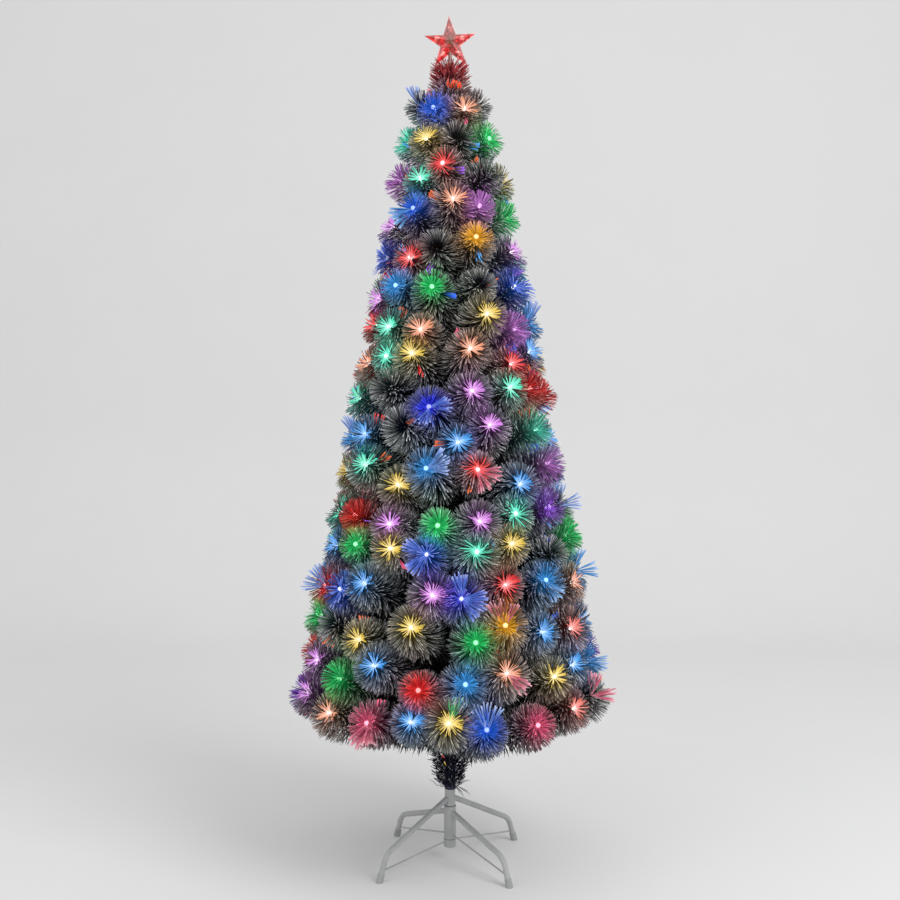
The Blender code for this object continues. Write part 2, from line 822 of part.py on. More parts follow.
def make_garland():
    # A spiky sleeve on the pole: needle ends stand out in a chequer pattern, over a plain bore
    top_height = collar_height(0) - TIER_COLLAR_HEIGHT / 2 - GAP
    skirt = TUBE_TOP + GARLAND_CLEARANCE
    wide_bore = bore_for(TUBE_RADIUS, GARLAND_COLUMNS)
    pole_bore = bore_for(POLE_RADIUS, GARLAND_COLUMNS)
    axes = (Vector((1, 0, 0)), Vector((0, 1, 0)), Vector((0, 0, 1)))
    bm = bmesh.new()
    rings = []
    for row in range(GARLAND_ROWS):
        share = row / (GARLAND_ROWS - 1)
        height = GARLAND_BOTTOM + (top_height - GARLAND_BOTTOM) * share
        radius = GARLAND_FOOT_RADIUS + (GARLAND_TOP_RADIUS - GARLAND_FOOT_RADIUS) * share
        valley = max(radius * GARLAND_VALLEY_SHARE, wide_bore + GARLAND_CLEARANCE)
        pair = [radius, valley] if row % 2 == 0 else [valley, radius]
        centre = Vector((0, 0, height))
        rings.append(ring_of(bm, centre, axes, pair * (GARLAND_COLUMNS // 2)))
    for height, radius in (
        (top_height, pole_bore),
        (skirt + GARLAND_CLEARANCE, pole_bore),
        (skirt, wide_bore),
        (GARLAND_BOTTOM, wide_bore),
    ):
        rings.append(ring_of(bm, Vector((0, 0, height)), axes, [radius] * GARLAND_COLUMNS))
    for below, above in zip(rings, rings[1:] + rings[:1]):
        skin(bm, below, above)
    garland = add_piece("trunk_garland", mesh_of("trunk_garland", bm), garland_green, lower)
    bm = bmesh.new()
    for index in range(STRAY_COUNT):
        azimuth = math.pi * (2 * index + 1) / STRAY_COUNT
        lean = around(azimuth, math.sin(STRAY_LEAN), -math.cos(STRAY_LEAN))
        start = around(azimuth, GARLAND_FOOT_RADIUS * GARLAND_VALLEY_SHARE, GARLAND_BOTTOM)
        start = start + Vector((0, 0, GARLAND_FOOT_RADIUS))
        spin = Vector((0, 0, 1)).rotation_difference(lean).to_matrix().to_4x4()
        bmesh.ops.create_cone(
            bm, cap_ends=True, segments=WIRE_SIDES, radius1=STRAY_RADIUS,
            radius2=STRAY_RADIUS * STRAND_TIP_SHARE, depth=STRAY_LENGTH,
            matrix=Matrix.Translation(start + lean * STRAY_LENGTH / 2) @ spin,
        )
    strays = add_cutter("stray_needles", mesh_of("stray_needles", bm))
    boolean(garland, strays, "UNION")


def leader_base():
    return collar_height(TIER_COUNT - 1) + POLE_HEAD


def make_leader():
    base = leader_base()
    wire_top = base + LEADER_WIRE_LENGTH
    leader = turned(
        "leader",
        [
            (0, wire_top),
            (LEADER_WIRE_RADIUS, wire_top),
            (LEADER_WIRE_RADIUS, base),
            (POLE_BORE - GAP, base),
            (POLE_BORE - GAP, base - LEADER_PLUG_LENGTH),
            (0, base - LEADER_PLUG_LENGTH),
        ],
        needles,
        top,
        None,
        ROD_SIDES,
    )
    up = Vector((0, 0, 1))
    for index, share in enumerate(LEADER_BRUSH_SHARES):
        bm = bmesh.new()
        centre = Vector((0, 0, base + LEADER_BRUSH_START + LEADER_BRUSH_PITCH * index))
        axes = axes_along(up, ROLL_STEP * index)
        core = LEADER_WIRE_RADIUS / 2
        back, rim = brush_rings(
            bm, centre, axes, LEADER_BRUSH_RADIUS * share, LEADER_BRUSH_DEPTH, core
        )
        bm.faces.new(reversed(back))
        front = ring_of(bm, centre, axes, [core] * WIRE_SIDES)
        skin(bm, front, rim)
        bm.faces.new(front)
        name = f"leader_brush_{index + 1}"
        boolean(leader, add_cutter(name, mesh_of(name, bm)), "UNION")


# Star


def star_cone(name, depth):
    # A cone on ten corners, every second one drawn in, with its apex towards the front
    bm = bmesh.new()
    bmesh.ops.create_cone(
        bm, cap_ends=True, segments=STAR_POINTS * 2, radius1=STAR_RADIUS, radius2=0,
        depth=depth, matrix=Matrix.Translation((0, 0, depth / 2)),
    )
    half_turn = math.pi / STAR_POINTS
    for vert in bm.verts:
        across = vert.co.to_2d().length
        corner = round(math.atan2(vert.co.x, vert.co.y) / half_turn)
        if across > 0 and corner % 2:
            vert.co.x *= STAR_VALLEY_SHARE
            vert.co.y *= STAR_VALLEY_SHARE
    return mesh_of(name, bm)


def star_centre():
    # The lowest notch of the star is level with the end of the leader's wire
    return leader_base() + LEADER_WIRE_LENGTH + STAR_RADIUS * STAR_VALLEY_SHARE


def make_star():
    centre = star_centre()
    # The corner of the cone that lies along its own +Y is turned to point up
    upright = Matrix.Rotation(math.pi / 2, 4, "X")
    socket_top = centre - BOARD_RADIUS - GAP
    socket_foot = leader_base() + LEADER_WIRE_LENGTH - SOCKET_ENGAGEMENT
    notch = add_cutter(
        "socket_notch",
        cylinder_mesh("socket_notch", SOCKET_OD / 2 + GAP, socket_foot, socket_top + GAP),
    )
    for name, side, turn in (("star_front", -1, 0), ("star_back", 1, math.pi)):
        facing = Matrix.Translation((0, side * GAP / 2, centre)) @ Matrix.Rotation(turn, 4, "Z")
        shell = add_piece(name, star_cone(name, STAR_HALF_DEPTH), clear_red, star, facing @ upright)
        hollow = add_cutter(
            name + "_hollow",
            star_cone(name + "_hollow", STAR_HALF_DEPTH),
            facing @ upright @ Matrix.Translation((0, 0, -STAR_WALL)),
        )
        boolean(shell, hollow, "DIFFERENCE")
        boolean(shell, notch, "DIFFERENCE")
    bore = LEADER_WIRE_RADIUS + GAP
    bore_top = leader_base() + LEADER_WIRE_LENGTH + GAP
    turned(
        "star_socket",
        [
            (0, socket_top),
            (SOCKET_OD / 2, socket_top),
            (SOCKET_OD / 2, socket_foot),
            (bore, socket_foot),
            (bore, bore_top),
            (0, bore_top),
        ],
        black_plastic,
        star,
        None,
        ROD_SIDES,
    )
    make_star_light(centre, upright)


def make_star_light(centre, upright):
    place = Matrix.Translation((0, 0, centre)) @ upright
    board = add_piece(
        "star_light",
        cylinder_mesh("star_light", BOARD_RADIUS, -BOARD_THICKNESS / 2, BOARD_THICKNESS / 2),
        board_green,
        star,
        place,
    )
    bm = bmesh.new()
    for index in range(STAR_POINTS):
        spin = Matrix.Rotation(math.tau * index / STAR_POINTS, 4, "Z")
        outwards = Matrix.Rotation(math.pi / 2, 4, "X")
        reach = BOARD_RADIUS - STAR_LAMP_SEAT + STAR_LAMP_LENGTH / 2
        bmesh.ops.create_cone(
            bm, cap_ends=True, segments=PIN_SIDES, radius1=STAR_LAMP_RADIUS,
            radius2=STAR_LAMP_RADIUS, depth=STAR_LAMP_LENGTH,
            matrix=spin @ Matrix.Translation((0, reach, 0)) @ outwards,
        )
    lamps = add_cutter("star_lamps", mesh_of("star_lamps", bm), place)
    boolean(board, lamps, "UNION")


clear_scene()
parts = new_collection(TREE_NAME)
cutters = new_collection("cutters")

steel = new_material("painted steel", STEEL_GREY, 0.45, 0.3)
zinc = new_material("zinc plate", ZINC, 0.35, 1.0)
cap_plastic = new_material("cap plastic", CAP_GREY, 0.5)
pole_paint = new_material("pole paint", POLE_GREEN, 0.5, 0.2)
black_plastic = new_material("black plastic", PLASTIC_BLACK, 0.5)
white_plastic = new_material("white plastic", PLASTIC_WHITE, 0.5)
needles = new_material("flocked needles", NEEDLE_GREEN, 0.8)
garland_green = new_material("garland needles", GARLAND_GREEN, 0.8)
clear_red = new_material("clear plastic", STAR_RED, 0.12, 0.0, 0.6)
board_green = new_material("board", BOARD_GREEN, 0.4)

turning_legs = new_body("turning_legs")
lower = new_body("lower_section")
middle = new_body("middle_section")
top = new_body("top_section")
star = new_body("star")
clamp = new_body("clamp", (0, 0, SCREW_HEIGHT))

screw_hole = add_cutter(
    "screw_hole",
    cylinder_mesh("screw_hole", SCREW_RADIUS + GAP, 0, TUBE_RADIUS + NUT_THICKNESS + OVERRUN),
    Matrix.Translation((0, 0, SCREW_HEIGHT)) @ Matrix.Rotation(-math.pi / 2, 4, "X"),
)

make_stand_tube()
make_legs()
make_clamp()
make_poles()
make_garland()
make_tiers()
make_leader()
make_star()
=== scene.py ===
# Fiber optic Christmas tree: needle brushes, lit tips, star and stand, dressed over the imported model.
# Metres, the floor is at z = 0 and the pole stands on the Z axis, as in the model.
import math

import bpy
import numpy as np
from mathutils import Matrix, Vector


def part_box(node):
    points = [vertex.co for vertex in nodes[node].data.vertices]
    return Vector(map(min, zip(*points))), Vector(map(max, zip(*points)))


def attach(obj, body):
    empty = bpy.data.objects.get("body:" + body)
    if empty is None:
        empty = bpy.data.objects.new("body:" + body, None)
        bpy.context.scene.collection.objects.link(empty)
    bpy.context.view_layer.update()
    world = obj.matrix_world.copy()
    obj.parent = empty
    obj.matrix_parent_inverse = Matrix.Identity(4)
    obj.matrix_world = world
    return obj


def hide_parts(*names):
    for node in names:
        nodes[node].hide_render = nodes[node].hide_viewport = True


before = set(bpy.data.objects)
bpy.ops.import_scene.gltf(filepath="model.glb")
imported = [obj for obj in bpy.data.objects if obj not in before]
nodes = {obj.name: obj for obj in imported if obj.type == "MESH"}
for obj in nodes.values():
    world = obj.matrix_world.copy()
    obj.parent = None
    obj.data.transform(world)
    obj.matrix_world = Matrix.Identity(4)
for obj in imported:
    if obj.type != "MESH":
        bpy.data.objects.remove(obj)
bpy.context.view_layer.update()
fullTurn = 2 * math.pi
goldenTurn = fullTurn * 0.381966
print("frame loaded, pieces in it:", len(nodes))

# Camera: level, at the height of the lower middle of the tree

viewPoint = {"distance": 2.50, "height": 0.958, "lens": 46.88, "shift": -0.0433}


def addCamera(spec):
    # The camera looks along +Y. Its shift lowers the frame, as in a picture taken level
    camera = bpy.data.cameras.new("camera")
    camera.lens = spec["lens"]
    camera.sensor_width = 36
    camera.shift_y = spec["shift"]
    camera.clip_end = 30
    holder = bpy.data.objects.new("camera", camera)
    holder.location = (0, -spec["distance"], spec["height"])
    holder.rotation_euler = (math.pi / 2, 0, 0)
    bpy.context.scene.collection.objects.link(holder)
    bpy.context.scene.camera = holder


addCamera(viewPoint)

# Small tools for arrays of points


def unit(vectors):
    # Each vector divided by its own length
    return vectors / np.maximum(np.linalg.norm(vectors, axis=-1, keepdims=True), 1e-9)


def smooth(low, high, value):
    # 0 below low, 1 above high, and 3t^2 - 2t^3 between them
    t = np.clip((value - low) / (high - low), 0, 1)
    return t * t * (3 - 2 * t)


def blendColours(first, second, share):
    return first + (second - first) * share[..., None]


def around(azimuth, radius, height):
    # Points at an angle round the pole, a distance from it and a height
    azimuth, radius, height = np.broadcast_arrays(azimuth, radius, height)
    return np.stack([radius * np.cos(azimuth), radius * np.sin(azimuth), height], -1).astype(float)


def putMesh(name, part, material, body):
    # A mesh from the whole arrays of a part: points and triangles, and colours and a map where it has them
    points, triangles = part["points"], part["triangles"]
    mesh = bpy.data.meshes.new(name)
    mesh.vertices.add(len(points))
    mesh.vertices.foreach_set("co", points.astype(np.float32).ravel())
    mesh.loops.add(triangles.size)
    mesh.loops.foreach_set("vertex_index", triangles.astype(np.int32).ravel())
    mesh.polygons.add(len(triangles))
    mesh.polygons.foreach_set("loop_start", np.arange(0, triangles.size, 3, dtype=np.int32))
    mesh.update(calc_edges=True)
    mesh.validate()
    mesh.shade_smooth()
    for title in ("shade", "glow"):
        if title in part:
            layer = mesh.attributes.new(title, "FLOAT_COLOR", "POINT")
            full = np.ones((len(points), 4), np.float32)
            full[:, :3] = part[title]
            layer.data.foreach_set("color", full.ravel())
    if "cells" in part:
        layer = mesh.uv_layers.new(name="OFBake")
        layer.data.foreach_set("uv", part["cells"][triangles.ravel()].astype(np.float32).ravel())
    mesh.materials.append(material)
    piece = bpy.data.objects.new(name, mesh)
    bpy.context.scene.collection.objects.link(piece)
    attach(piece, body)
    return piece


def sideOf(heading):
    # A direction across the heading: level, unless the heading itself is upright
    upright = np.abs(heading[..., 2:]) > 0.97
    return unit(np.cross(heading, np.where(upright, [1.0, 0.0, 0.0], [0.0, 0.0, 1.0])))


def spikes(lines, radii, sides=3, flatness=1.0, facing=None):
    # Closed spindles along many centre lines at once. lines is (many, steps, 3) and radii (many, steps).
    # The two ends of a line are single points. Each step between carries a ring of corners:
    # centre + radius * (cos(angle) * side + flatness * sin(angle) * across).
    many, steps, _ = lines.shape
    rings = steps - 2
    along = unit(lines[:, 2:] - lines[:, :-2])
    if facing is None:
        side = np.broadcast_to(sideOf(along[:, :1]), along.shape)
        side = unit(side - along * (side * along).sum(-1, keepdims=True))
    else:
        side = unit(np.cross(along, np.broadcast_to(facing, along.shape)))
    across = np.cross(along, side)
    angle = fullTurn * np.arange(sides)[:, None] / sides
    corner = np.cos(angle) * side[:, :, None] + flatness * np.sin(angle) * across[:, :, None]
    body = lines[:, 1:-1, None] + corner * radii[:, 1:-1, None, None]
    points = np.concatenate([lines[:, :1], body.reshape(many, rings * sides, 3), lines[:, -1:]], axis=1)
    k = np.arange(sides)
    following = (k + 1) % sides
    foot = np.stack([0 * k, 1 + following, 1 + k], 1)
    last = 1 + (rings - 1) * sides
    tip = np.stack([0 * k + 1 + rings * sides, last + k, last + following], 1)
    bands = []
    for ring in range(rings - 1):
        low = 1 + ring * sides
        high = low + sides
        bands.append(np.stack([low + k, low + following, high + following], 1))
        bands.append(np.stack([low + k, high + following, high + k], 1))
    pattern = np.concatenate([foot, *bands, tip])
    size = rings * sides + 2
    triangles = (pattern[None] + size * np.arange(many)[:, None, None]).reshape(-1, 3)
    return points.reshape(-1, 3), triangles


def spikeMap(many, steps, sides):
    # Each spike gets a small cell of its own in the map: its length runs across, its corners up
    columns = max(1, int(math.sqrt(many / 2)))
    rows = math.ceil(many / columns)
    number = np.arange(many)
    share = np.linspace(0, 1, steps)
    corners = np.tile(0.2 + 0.6 * np.arange(sides) / max(1, sides - 1), steps - 2)
    up = np.concatenate([[0.5], corners, [0.5]])
    across = np.concatenate([[share[0]], np.repeat(share[1:-1], sides), [share[-1]]])
    u = ((number % columns)[:, None] + 0.08 + 0.84 * across[None]) / columns
    v = ((number // columns)[:, None] + up[None]) / rows
    return np.stack([u, v], 2).reshape(-1, 2)


def perPoint(values, sides):
    # Values given for each step of each spike, (many, steps) or (many, steps, 3), repeated for the corners
    middle = np.repeat(values[:, 1:-1], sides, axis=1)
    full = np.concatenate([values[:, :1], middle, values[:, -1:]], axis=1)
    return full.reshape(-1, *full.shape[2:])


def spikePart(lines, radii, sides=3, flatness=1.0, facing=None, **values):
    # One set of spikes with its values and its map cells, ready to be joined with others
    size = lines.shape[:2]
    points, triangles = spikes(lines, np.broadcast_to(radii, size), sides, flatness, facing)
    part = {"points": points, "triangles": triangles, "cells": spikeMap(*size, sides), "many": len(lines)}
    for title, value in values.items():
        part[title] = perPoint(np.broadcast_to(value, (*size, *value.shape[2:])), sides)
    return part


def joinParts(parts):
    # Several sets in one mesh. Their cells share the map in bands, one above the other
    whole = sum(part["many"] for part in parts)
    offset, floor, triangles, cells = 0, 0.0, [], []
    for part in parts:
        triangles.append(part["triangles"] + offset)
        band = part["many"] / whole
        cells.append(part["cells"] * [1, band] + [0, floor])
        offset += len(part["points"])
        floor += band
    given = [key for key in parts[0] if key not in ("triangles", "cells", "many")]
    joined = {key: np.concatenate([part[key] for part in parts]) for key in given}
    joined["triangles"], joined["cells"] = np.concatenate(triangles), np.concatenate(cells)
    return joined


def tubePart(lines, radius, sides):
    # Tubes with closed ends: the same closed spindle with a full ring right at each end, and no map
    start = lines[:, :1] * 0.999 + lines[:, 1:2] * 0.001
    finish = lines[:, -2:-1] * 0.001 + lines[:, -1:] * 0.999
    full = np.concatenate([lines[:, :1], start, lines[:, 1:-1], finish, lines[:, -1:]], axis=1)
    part = spikePart(full, radius, sides)
    return {key: part[key] for key in ("points", "triangles")}


def gridCorners(rows, columns, first=0, closed=False):
    # Corner numbers of each square of a grid whose columns run round, and whose rows do too if it is closed
    row, column = np.meshgrid(np.arange(rows if closed else rows - 1), np.arange(columns), indexing="ij")
    low, high = first + row * columns, first + (row + 1) % rows * columns
    following = (column + 1) % columns
    return [corner.ravel() for corner in (low + column, low + following, high + following, high + column)]


# Materials: one set of nodes for each finish


def newFinish(name):
    material = bpy.data.materials.new(name)
    material.use_nodes = True
    tree = material.node_tree
    return material, tree, tree.nodes["Principled BSDF"]


def setInputs(tree, node, inputs):
    # A socket is linked to the input it is given for. Anything else is set on the input itself
    for key, value in inputs.items():
        if isinstance(value, bpy.types.NodeSocket):
            tree.links.new(value, node.inputs[key])
        else:
            node.inputs[key].default_value = value


def addNode(tree, kind, inputs=None, **settings):
    node = tree.nodes.new(kind)
    for key, value in settings.items():
        setattr(node, key, value)
    setInputs(tree, node, inputs or {})
    return node


def ownPlace(tree):
    return addNode(tree, "ShaderNodeTexCoord").outputs["Object"]


def noiseOn(tree, scale, detail=3.0, rough=0.55, stretch=None):
    # Cloudy pattern on the piece's own coordinates, drawn out where stretch says so
    place = ownPlace(tree)
    if stretch:
        place = addNode(tree, "ShaderNodeMapping", {"Vector": place, "Scale": stretch}).outputs["Vector"]
    inputs = {"Vector": place, "Scale": scale, "Detail": detail, "Roughness": rough}
    return addNode(tree, "ShaderNodeTexNoise", inputs).outputs["Fac"]


def mixed(tree, factor, first, second, mode="MIX"):
    # Colour mix. first and second are a colour or a socket
    mix = addNode(tree, "ShaderNodeMix", data_type="RGBA", blend_type=mode)
    tones = [tone if isinstance(tone, bpy.types.NodeSocket) else (*tone, 1) for tone in (first, second)]
    setInputs(tree, mix, {0: factor, 6: tones[0], 7: tones[1]})
    return mix.outputs[2]


def ranged(tree, source, low, high, fromLow=0.3, fromHigh=0.7):
    inputs = {"Value": source, "From Min": fromLow, "From Max": fromHigh, "To Min": low, "To Max": high}
    return addNode(tree, "ShaderNodeMapRange", inputs).outputs["Result"]


def addBump(tree, shader, height, strength, distance):
    bump = addNode(tree, "ShaderNodeBump", {"Height": height, "Strength": strength, "Distance": distance})
    tree.links.new(bump.outputs["Normal"], shader.inputs["Normal"])


def brokenUp(tree, title, noise, low, high):
    # Colour that comes with the points, times a noise that runs from low to high
    colour = addNode(tree, "ShaderNodeAttribute", attribute_name=title).outputs["Color"]
    return mixed(tree, 1.0, colour, ranged(tree, noise, low, high), "MULTIPLY")


def litFinish(name):
    # Base colour and light of each needle or fibre come with its points; noise breaks both up
    material, tree, shader = newFinish(name)
    spec = finishes[name]
    grain = noiseOn(tree, spec["grain"], 2)
    setInputs(tree, shader, {
        "Base Color": brokenUp(tree, "shade", grain, *spec["baseRange"]),
        "Emission Color": brokenUp(tree, "glow", grain, *spec["glowRange"]), "Emission Strength": 1,
        "Roughness": ranged(tree, grain, *spec["roughRange"]), "Specular IOR Level": spec["specular"],
    })
    addBump(tree, shader, grain, spec["bump"], 0.0005)
    return material


def seamAt(tree, height, reach, width):
    # 1 in a thin level band at a height, within reach of the pole's axis, and 0 elsewhere
    parts = addNode(tree, "ShaderNodeSeparateXYZ", {0: ownPlace(tree)})
    flat = addNode(tree, "ShaderNodeCombineXYZ", {"X": parts.outputs["X"], "Y": parts.outputs["Y"]})
    out = addNode(tree, "ShaderNodeVectorMath", {0: flat.outputs[0]}, operation="LENGTH")
    off = addNode(tree, "ShaderNodeMath", {0: parts.outputs["Z"], 1: height}, operation="SUBTRACT")
    away = addNode(tree, "ShaderNodeMath", {0: off.outputs[0]}, operation="ABSOLUTE")
    level = ranged(tree, away.outputs[0], 1, 0, width * 0.4, width)
    within = ranged(tree, out.outputs["Value"], 1, 0, reach, reach * 1.05)
    return addNode(tree, "ShaderNodeMath", {0: level, 1: within}, operation="MULTIPLY").outputs[0]


def patternFinish(name):
    # Two tones from a cloudy pattern, and a fine grain that the roughness and the bump follow
    material, tree, shader = newFinish(name)
    spec = finishes[name]
    cloud = noiseOn(tree, spec["cloud"], 3)
    grain = noiseOn(tree, spec["grain"], 2, stretch=spec.get("stretch"))
    tone = mixed(tree, ranged(tree, cloud, 0, 1), spec["dark"], spec["light"])
    for height in spec.get("seams", ()):
        tone = mixed(tree, seamAt(tree, height, *spec["seamSize"]), tone, spec["seamTone"])
    if "worn" in spec:
        spots = ranged(tree, noiseOn(tree, spec["wornScale"], 5, 0.7), 0, spec["wornShare"], 0.62, 0.70)
        tone = mixed(tree, spots, tone, spec["worn"])
    setInputs(tree, shader, {
        "Base Color": tone, "Roughness": ranged(tree, grain, *spec["rough"]),
        "Metallic": spec.get("metal", 0.0), "Coat Weight": spec.get("coat", 0.0), "Coat Roughness": 0.25,
    })
    addBump(tree, shader, grain, spec["bump"], spec["bumpDepth"])
    return material


finishes = {
    "stand paint": {
        "cloud": 22, "grain": 620, "dark": (0.350, 0.355, 0.360), "light": (0.430, 0.435, 0.440),
        "rough": (0.32, 0.50), "coat": 0.25, "bump": 0.16, "bumpDepth": 0.0004, "worn": (0.22, 0.22, 0.22),
        "wornScale": 130, "wornShare": 0.5, "seams": (0.0476, 0.1178), "seamSize": (0.0134, 0.0012),
        "seamTone": (0.17, 0.17, 0.17),
    },
    "foot cap": {
        "cloud": 60, "grain": 1500, "dark": (0.31, 0.315, 0.32), "light": (0.37, 0.375, 0.38),
        "rough": (0.50, 0.68), "bump": 0.30, "bumpDepth": 0.0003, "worn": (0.20, 0.20, 0.19),
        "wornScale": 220, "wornShare": 0.4,
    },
    "zinc": {
        "cloud": 180, "grain": 900, "dark": (0.42, 0.42, 0.41), "light": (0.62, 0.62, 0.60),
        "rough": (0.25, 0.48), "metal": 1.0, "bump": 0.12, "bumpDepth": 0.0003,
    },
    "pole paint": {
        "cloud": 30, "grain": 480, "dark": (0.006, 0.018, 0.011), "light": (0.012, 0.030, 0.019),
        "rough": (0.28, 0.45), "coat": 0.3, "bump": 0.15, "bumpDepth": 0.0003, "worn": (0.05, 0.06, 0.05),
        "wornScale": 90, "wornShare": 0.6,
    },
    "black plastic": {
        "cloud": 150, "grain": 1300, "dark": (0.008, 0.008, 0.008), "light": (0.018, 0.018, 0.018),
        "rough": (0.40, 0.60), "bump": 0.25, "bumpDepth": 0.0003,
    },
    "white plastic": {
        "cloud": 150, "grain": 1300, "dark": (0.62, 0.61, 0.57), "light": (0.72, 0.71, 0.68),
        "rough": (0.35, 0.50), "bump": 0.20, "bumpDepth": 0.0003,
    },
    "amber stem": {
        "cloud": 200, "grain": 1200, "dark": (0.16, 0.055, 0.040), "light": (0.30, 0.11, 0.085),
        "rough": (0.25, 0.40), "bump": 0.2, "bumpDepth": 0.0003,
    },
    "branch wire": {
        "cloud": 90, "grain": 700, "dark": (0.005, 0.011, 0.009), "light": (0.020, 0.032, 0.026),
        "rough": (0.45, 0.65), "bump": 0.30, "bumpDepth": 0.0005, "stretch": (1, 1, 3),
    },
    "garland wire": {
        "cloud": 120, "grain": 700, "dark": (0.003, 0.003, 0.020), "light": (0.012, 0.012, 0.050),
        "rough": (0.40, 0.60), "bump": 0.30, "bumpDepth": 0.0005, "stretch": (1, 1, 3),
    },
    "flocked needles": {
        "grain": 950, "baseRange": (0.72, 1.20), "glowRange": (0.80, 1.15), "roughRange": (0.80, 0.98),
        "specular": 0.05, "bump": 0.5,
    },
    "glowing fibre": {
        "grain": 420, "baseRange": (0.85, 1.10), "glowRange": (0.86, 1.12), "roughRange": (0.28, 0.45),
        "specular": 0.12, "bump": 0.1,
    },
}
needleLook = litFinish("flocked needles")
strandLook = litFinish("glowing fibre")
wireLook = patternFinish("branch wire")
woundLook = patternFinish("garland wire")

# Foliage: the same tiers as the model, each branch tip with its brush

layout = {
    "tiers": 17, "pitch": 0.0765, "lowestTip": 0.372, "lowestRadius": 0.304, "taper": 0.77, "crownPower": 28,
    "tipSpacing": 0.097, "fewestTips": 6, "rise": 16, "lowTilt": 22, "crownTilt": 58, "tiltPower": 6,
    "turnShare": 0.38, "depth": 0.075, "depthShare": 0.45, "crownBrush": 0.86, "poleRadius": 0.0095,
    "sectionTiers": (6, 6, 5),
}
bentByHand = {
    "along": 0.011, "up": 0.009, "inward": 0.009, "turned": 0.10, "smallest": 0.95, "largest": 1.12,
    "seed": 90,
}
brush = {
    "wire": 0.0016, "seat": 0.006, "reach": 0.108, "needles": 480, "needleLength": 0.0510,
    "needleRadius": 0.00132, "lean": 67, "frontRun": 0.014, "frontShort": 0.20, "straightest": 0.04,
    "mostCurl": 0.42, "frostiness": (0.18, 1.0), "frosted": (0.46, 0.84), "bright": (0.45, 1.20),
    "innerNeedles": 250, "innerLength": 0.054, "innerRadius": 0.0018, "innerLean": 66,
    "innerBright": (0.4, 1.0), "poleNeedles": 200, "poleLength": 0.048, "poleLean": 1.15,
    "dark": (0.004, 0.010, 0.017), "frost": (0.80, 0.82, 0.81), "innerFrost": 0.30, "crownAim": 0.45,
    "seed": 7, "rootGap": 0.012, "crowding": 1.3, "innerGap": 0.004, "leastInner": 0.02, "innerRun": 0.15,
    "poleSeat": 0.0005,
}
# Where along its length a needle has its rings, for the needles that show and for the ones behind them
needleSteps = np.array((0.0, 0.45, 0.93, 1.0))
innerSteps = np.array((0.0, 0.7, 1.0))

# Lamps: what each kind looks like, and which tips carry which. light is (core, ring, halo, tint), painted on
# the needles

colours = {
    "yellow": (0.92, 0.66, 0.09), "gold": (1.0, 0.46, 0.01), "teal": (0.10, 0.92, 0.62),
    "peach": (1.0, 0.40, 0.22), "pink": (0.78, 0.26, 0.90), "violet": (0.38, 0.10, 0.95),
    "red": (1.0, 0.015, 0.015), "rose": (1.0, 0.12, 0.26), "sky": (0.05, 0.40, 1.0),
    "blue": (0.01, 0.15, 1.0), "royal": (0.02, 0.04, 1.0), "green": (0.015, 0.76, 0.17),
    "salmon": (1.0, 0.20, 0.15), "white": (0.75, 0.75, 0.72), "ice": (0.16, 0.36, 1.0),
    "orange": (1.0, 0.16, 0.02),
}
lampKinds = {
    "spark": {
        "strands": 38, "length": 0.0295, "radius": 0.00100, "low": 30, "high": 92, "clump": 5,
        "lamp": 0.0036, "lampWhite": 0.70, "white": (0.8, 0.7, 0.26, 0.08, 0.02),
        "bright": (1.3, 1.2, 0.95, 0.75, 0.65), "light": (0.22, 0.10, 0.06, 0.75), "frontLean": 10,
    },
    "flower": {
        "strands": 52, "length": 0.0272, "radius": 0.00110, "low": 58, "high": 89, "curl": 0.25,
        "lamp": 0.0047, "lampWhite": 0.28, "white": (0.6, 0.15, 0, 0.04, 0.40),
        "bright": (1.5, 0.80, 0.25, 0.80, 1.20), "light": (1.00, 0.80, 0.08, 1.15), "frontLean": 24,
    },
    "whirl": {
        "strands": 22, "length": 0.0240, "radius": 0.00140, "low": 58, "high": 86, "curl": 1.15,
        "lamp": 0.0042, "lampWhite": 0.7, "white": (0.9, 0.5, 0.12, 0.10, 0.05),
        "bright": (1.3, 1.2, 0.9, 0.8, 0.7), "light": (0.38, 0.12, 0.06, 0.50), "frontLean": 18,
    },
    "soft": {
        "strands": 8, "length": 0.0200, "radius": 0.00090, "low": 30, "high": 70, "curl": 0.2,
        "lamp": 0.0036, "lampWhite": 0.3, "white": (0.4, 0.3, 0.1, 0, 0), "bright": (1, 0.9, 0.6, 0.4, 0.3),
        "light": (0.95, 0.40, 0.20, 1.60), "frontLean": 36,
    },
    "fan": {
        "strands": 22, "length": 0.0270, "radius": 0.00110, "low": 40, "high": 90, "lamp": 0.0040,
        "lampWhite": 0.70, "white": (0.8, 0.5, 0.05, 0.30, 0.4), "bright": (1.2, 0.9, 0.35, 0.80, 0.8),
        "light": (0.55, 0.45, 0.14, 1.20), "frontLean": 14,
    },
    "plain": {"strands": 0, "light": (0.0, 0.0, 0.0, 0.0), "frontLean": 26},
}
strip = {
    "many": 10, "length": 0.0530, "radius": 0.0013, "flatness": 0.30, "spread": 19,
    "bundles": ((180, 70), (128, 70)), "steps": (0.0, 0.10, 0.45, 0.80, 0.99, 1.0),
    "profile": (0, 0.45, 0.8, 1.0, 1.1, 0), "white": (0.3, 0.3, 0.15, 0.20, 0.55, 0.65),
    "bright": (0.8, 0.6, 0.36, 0.45, 0.70, 0.75),
}
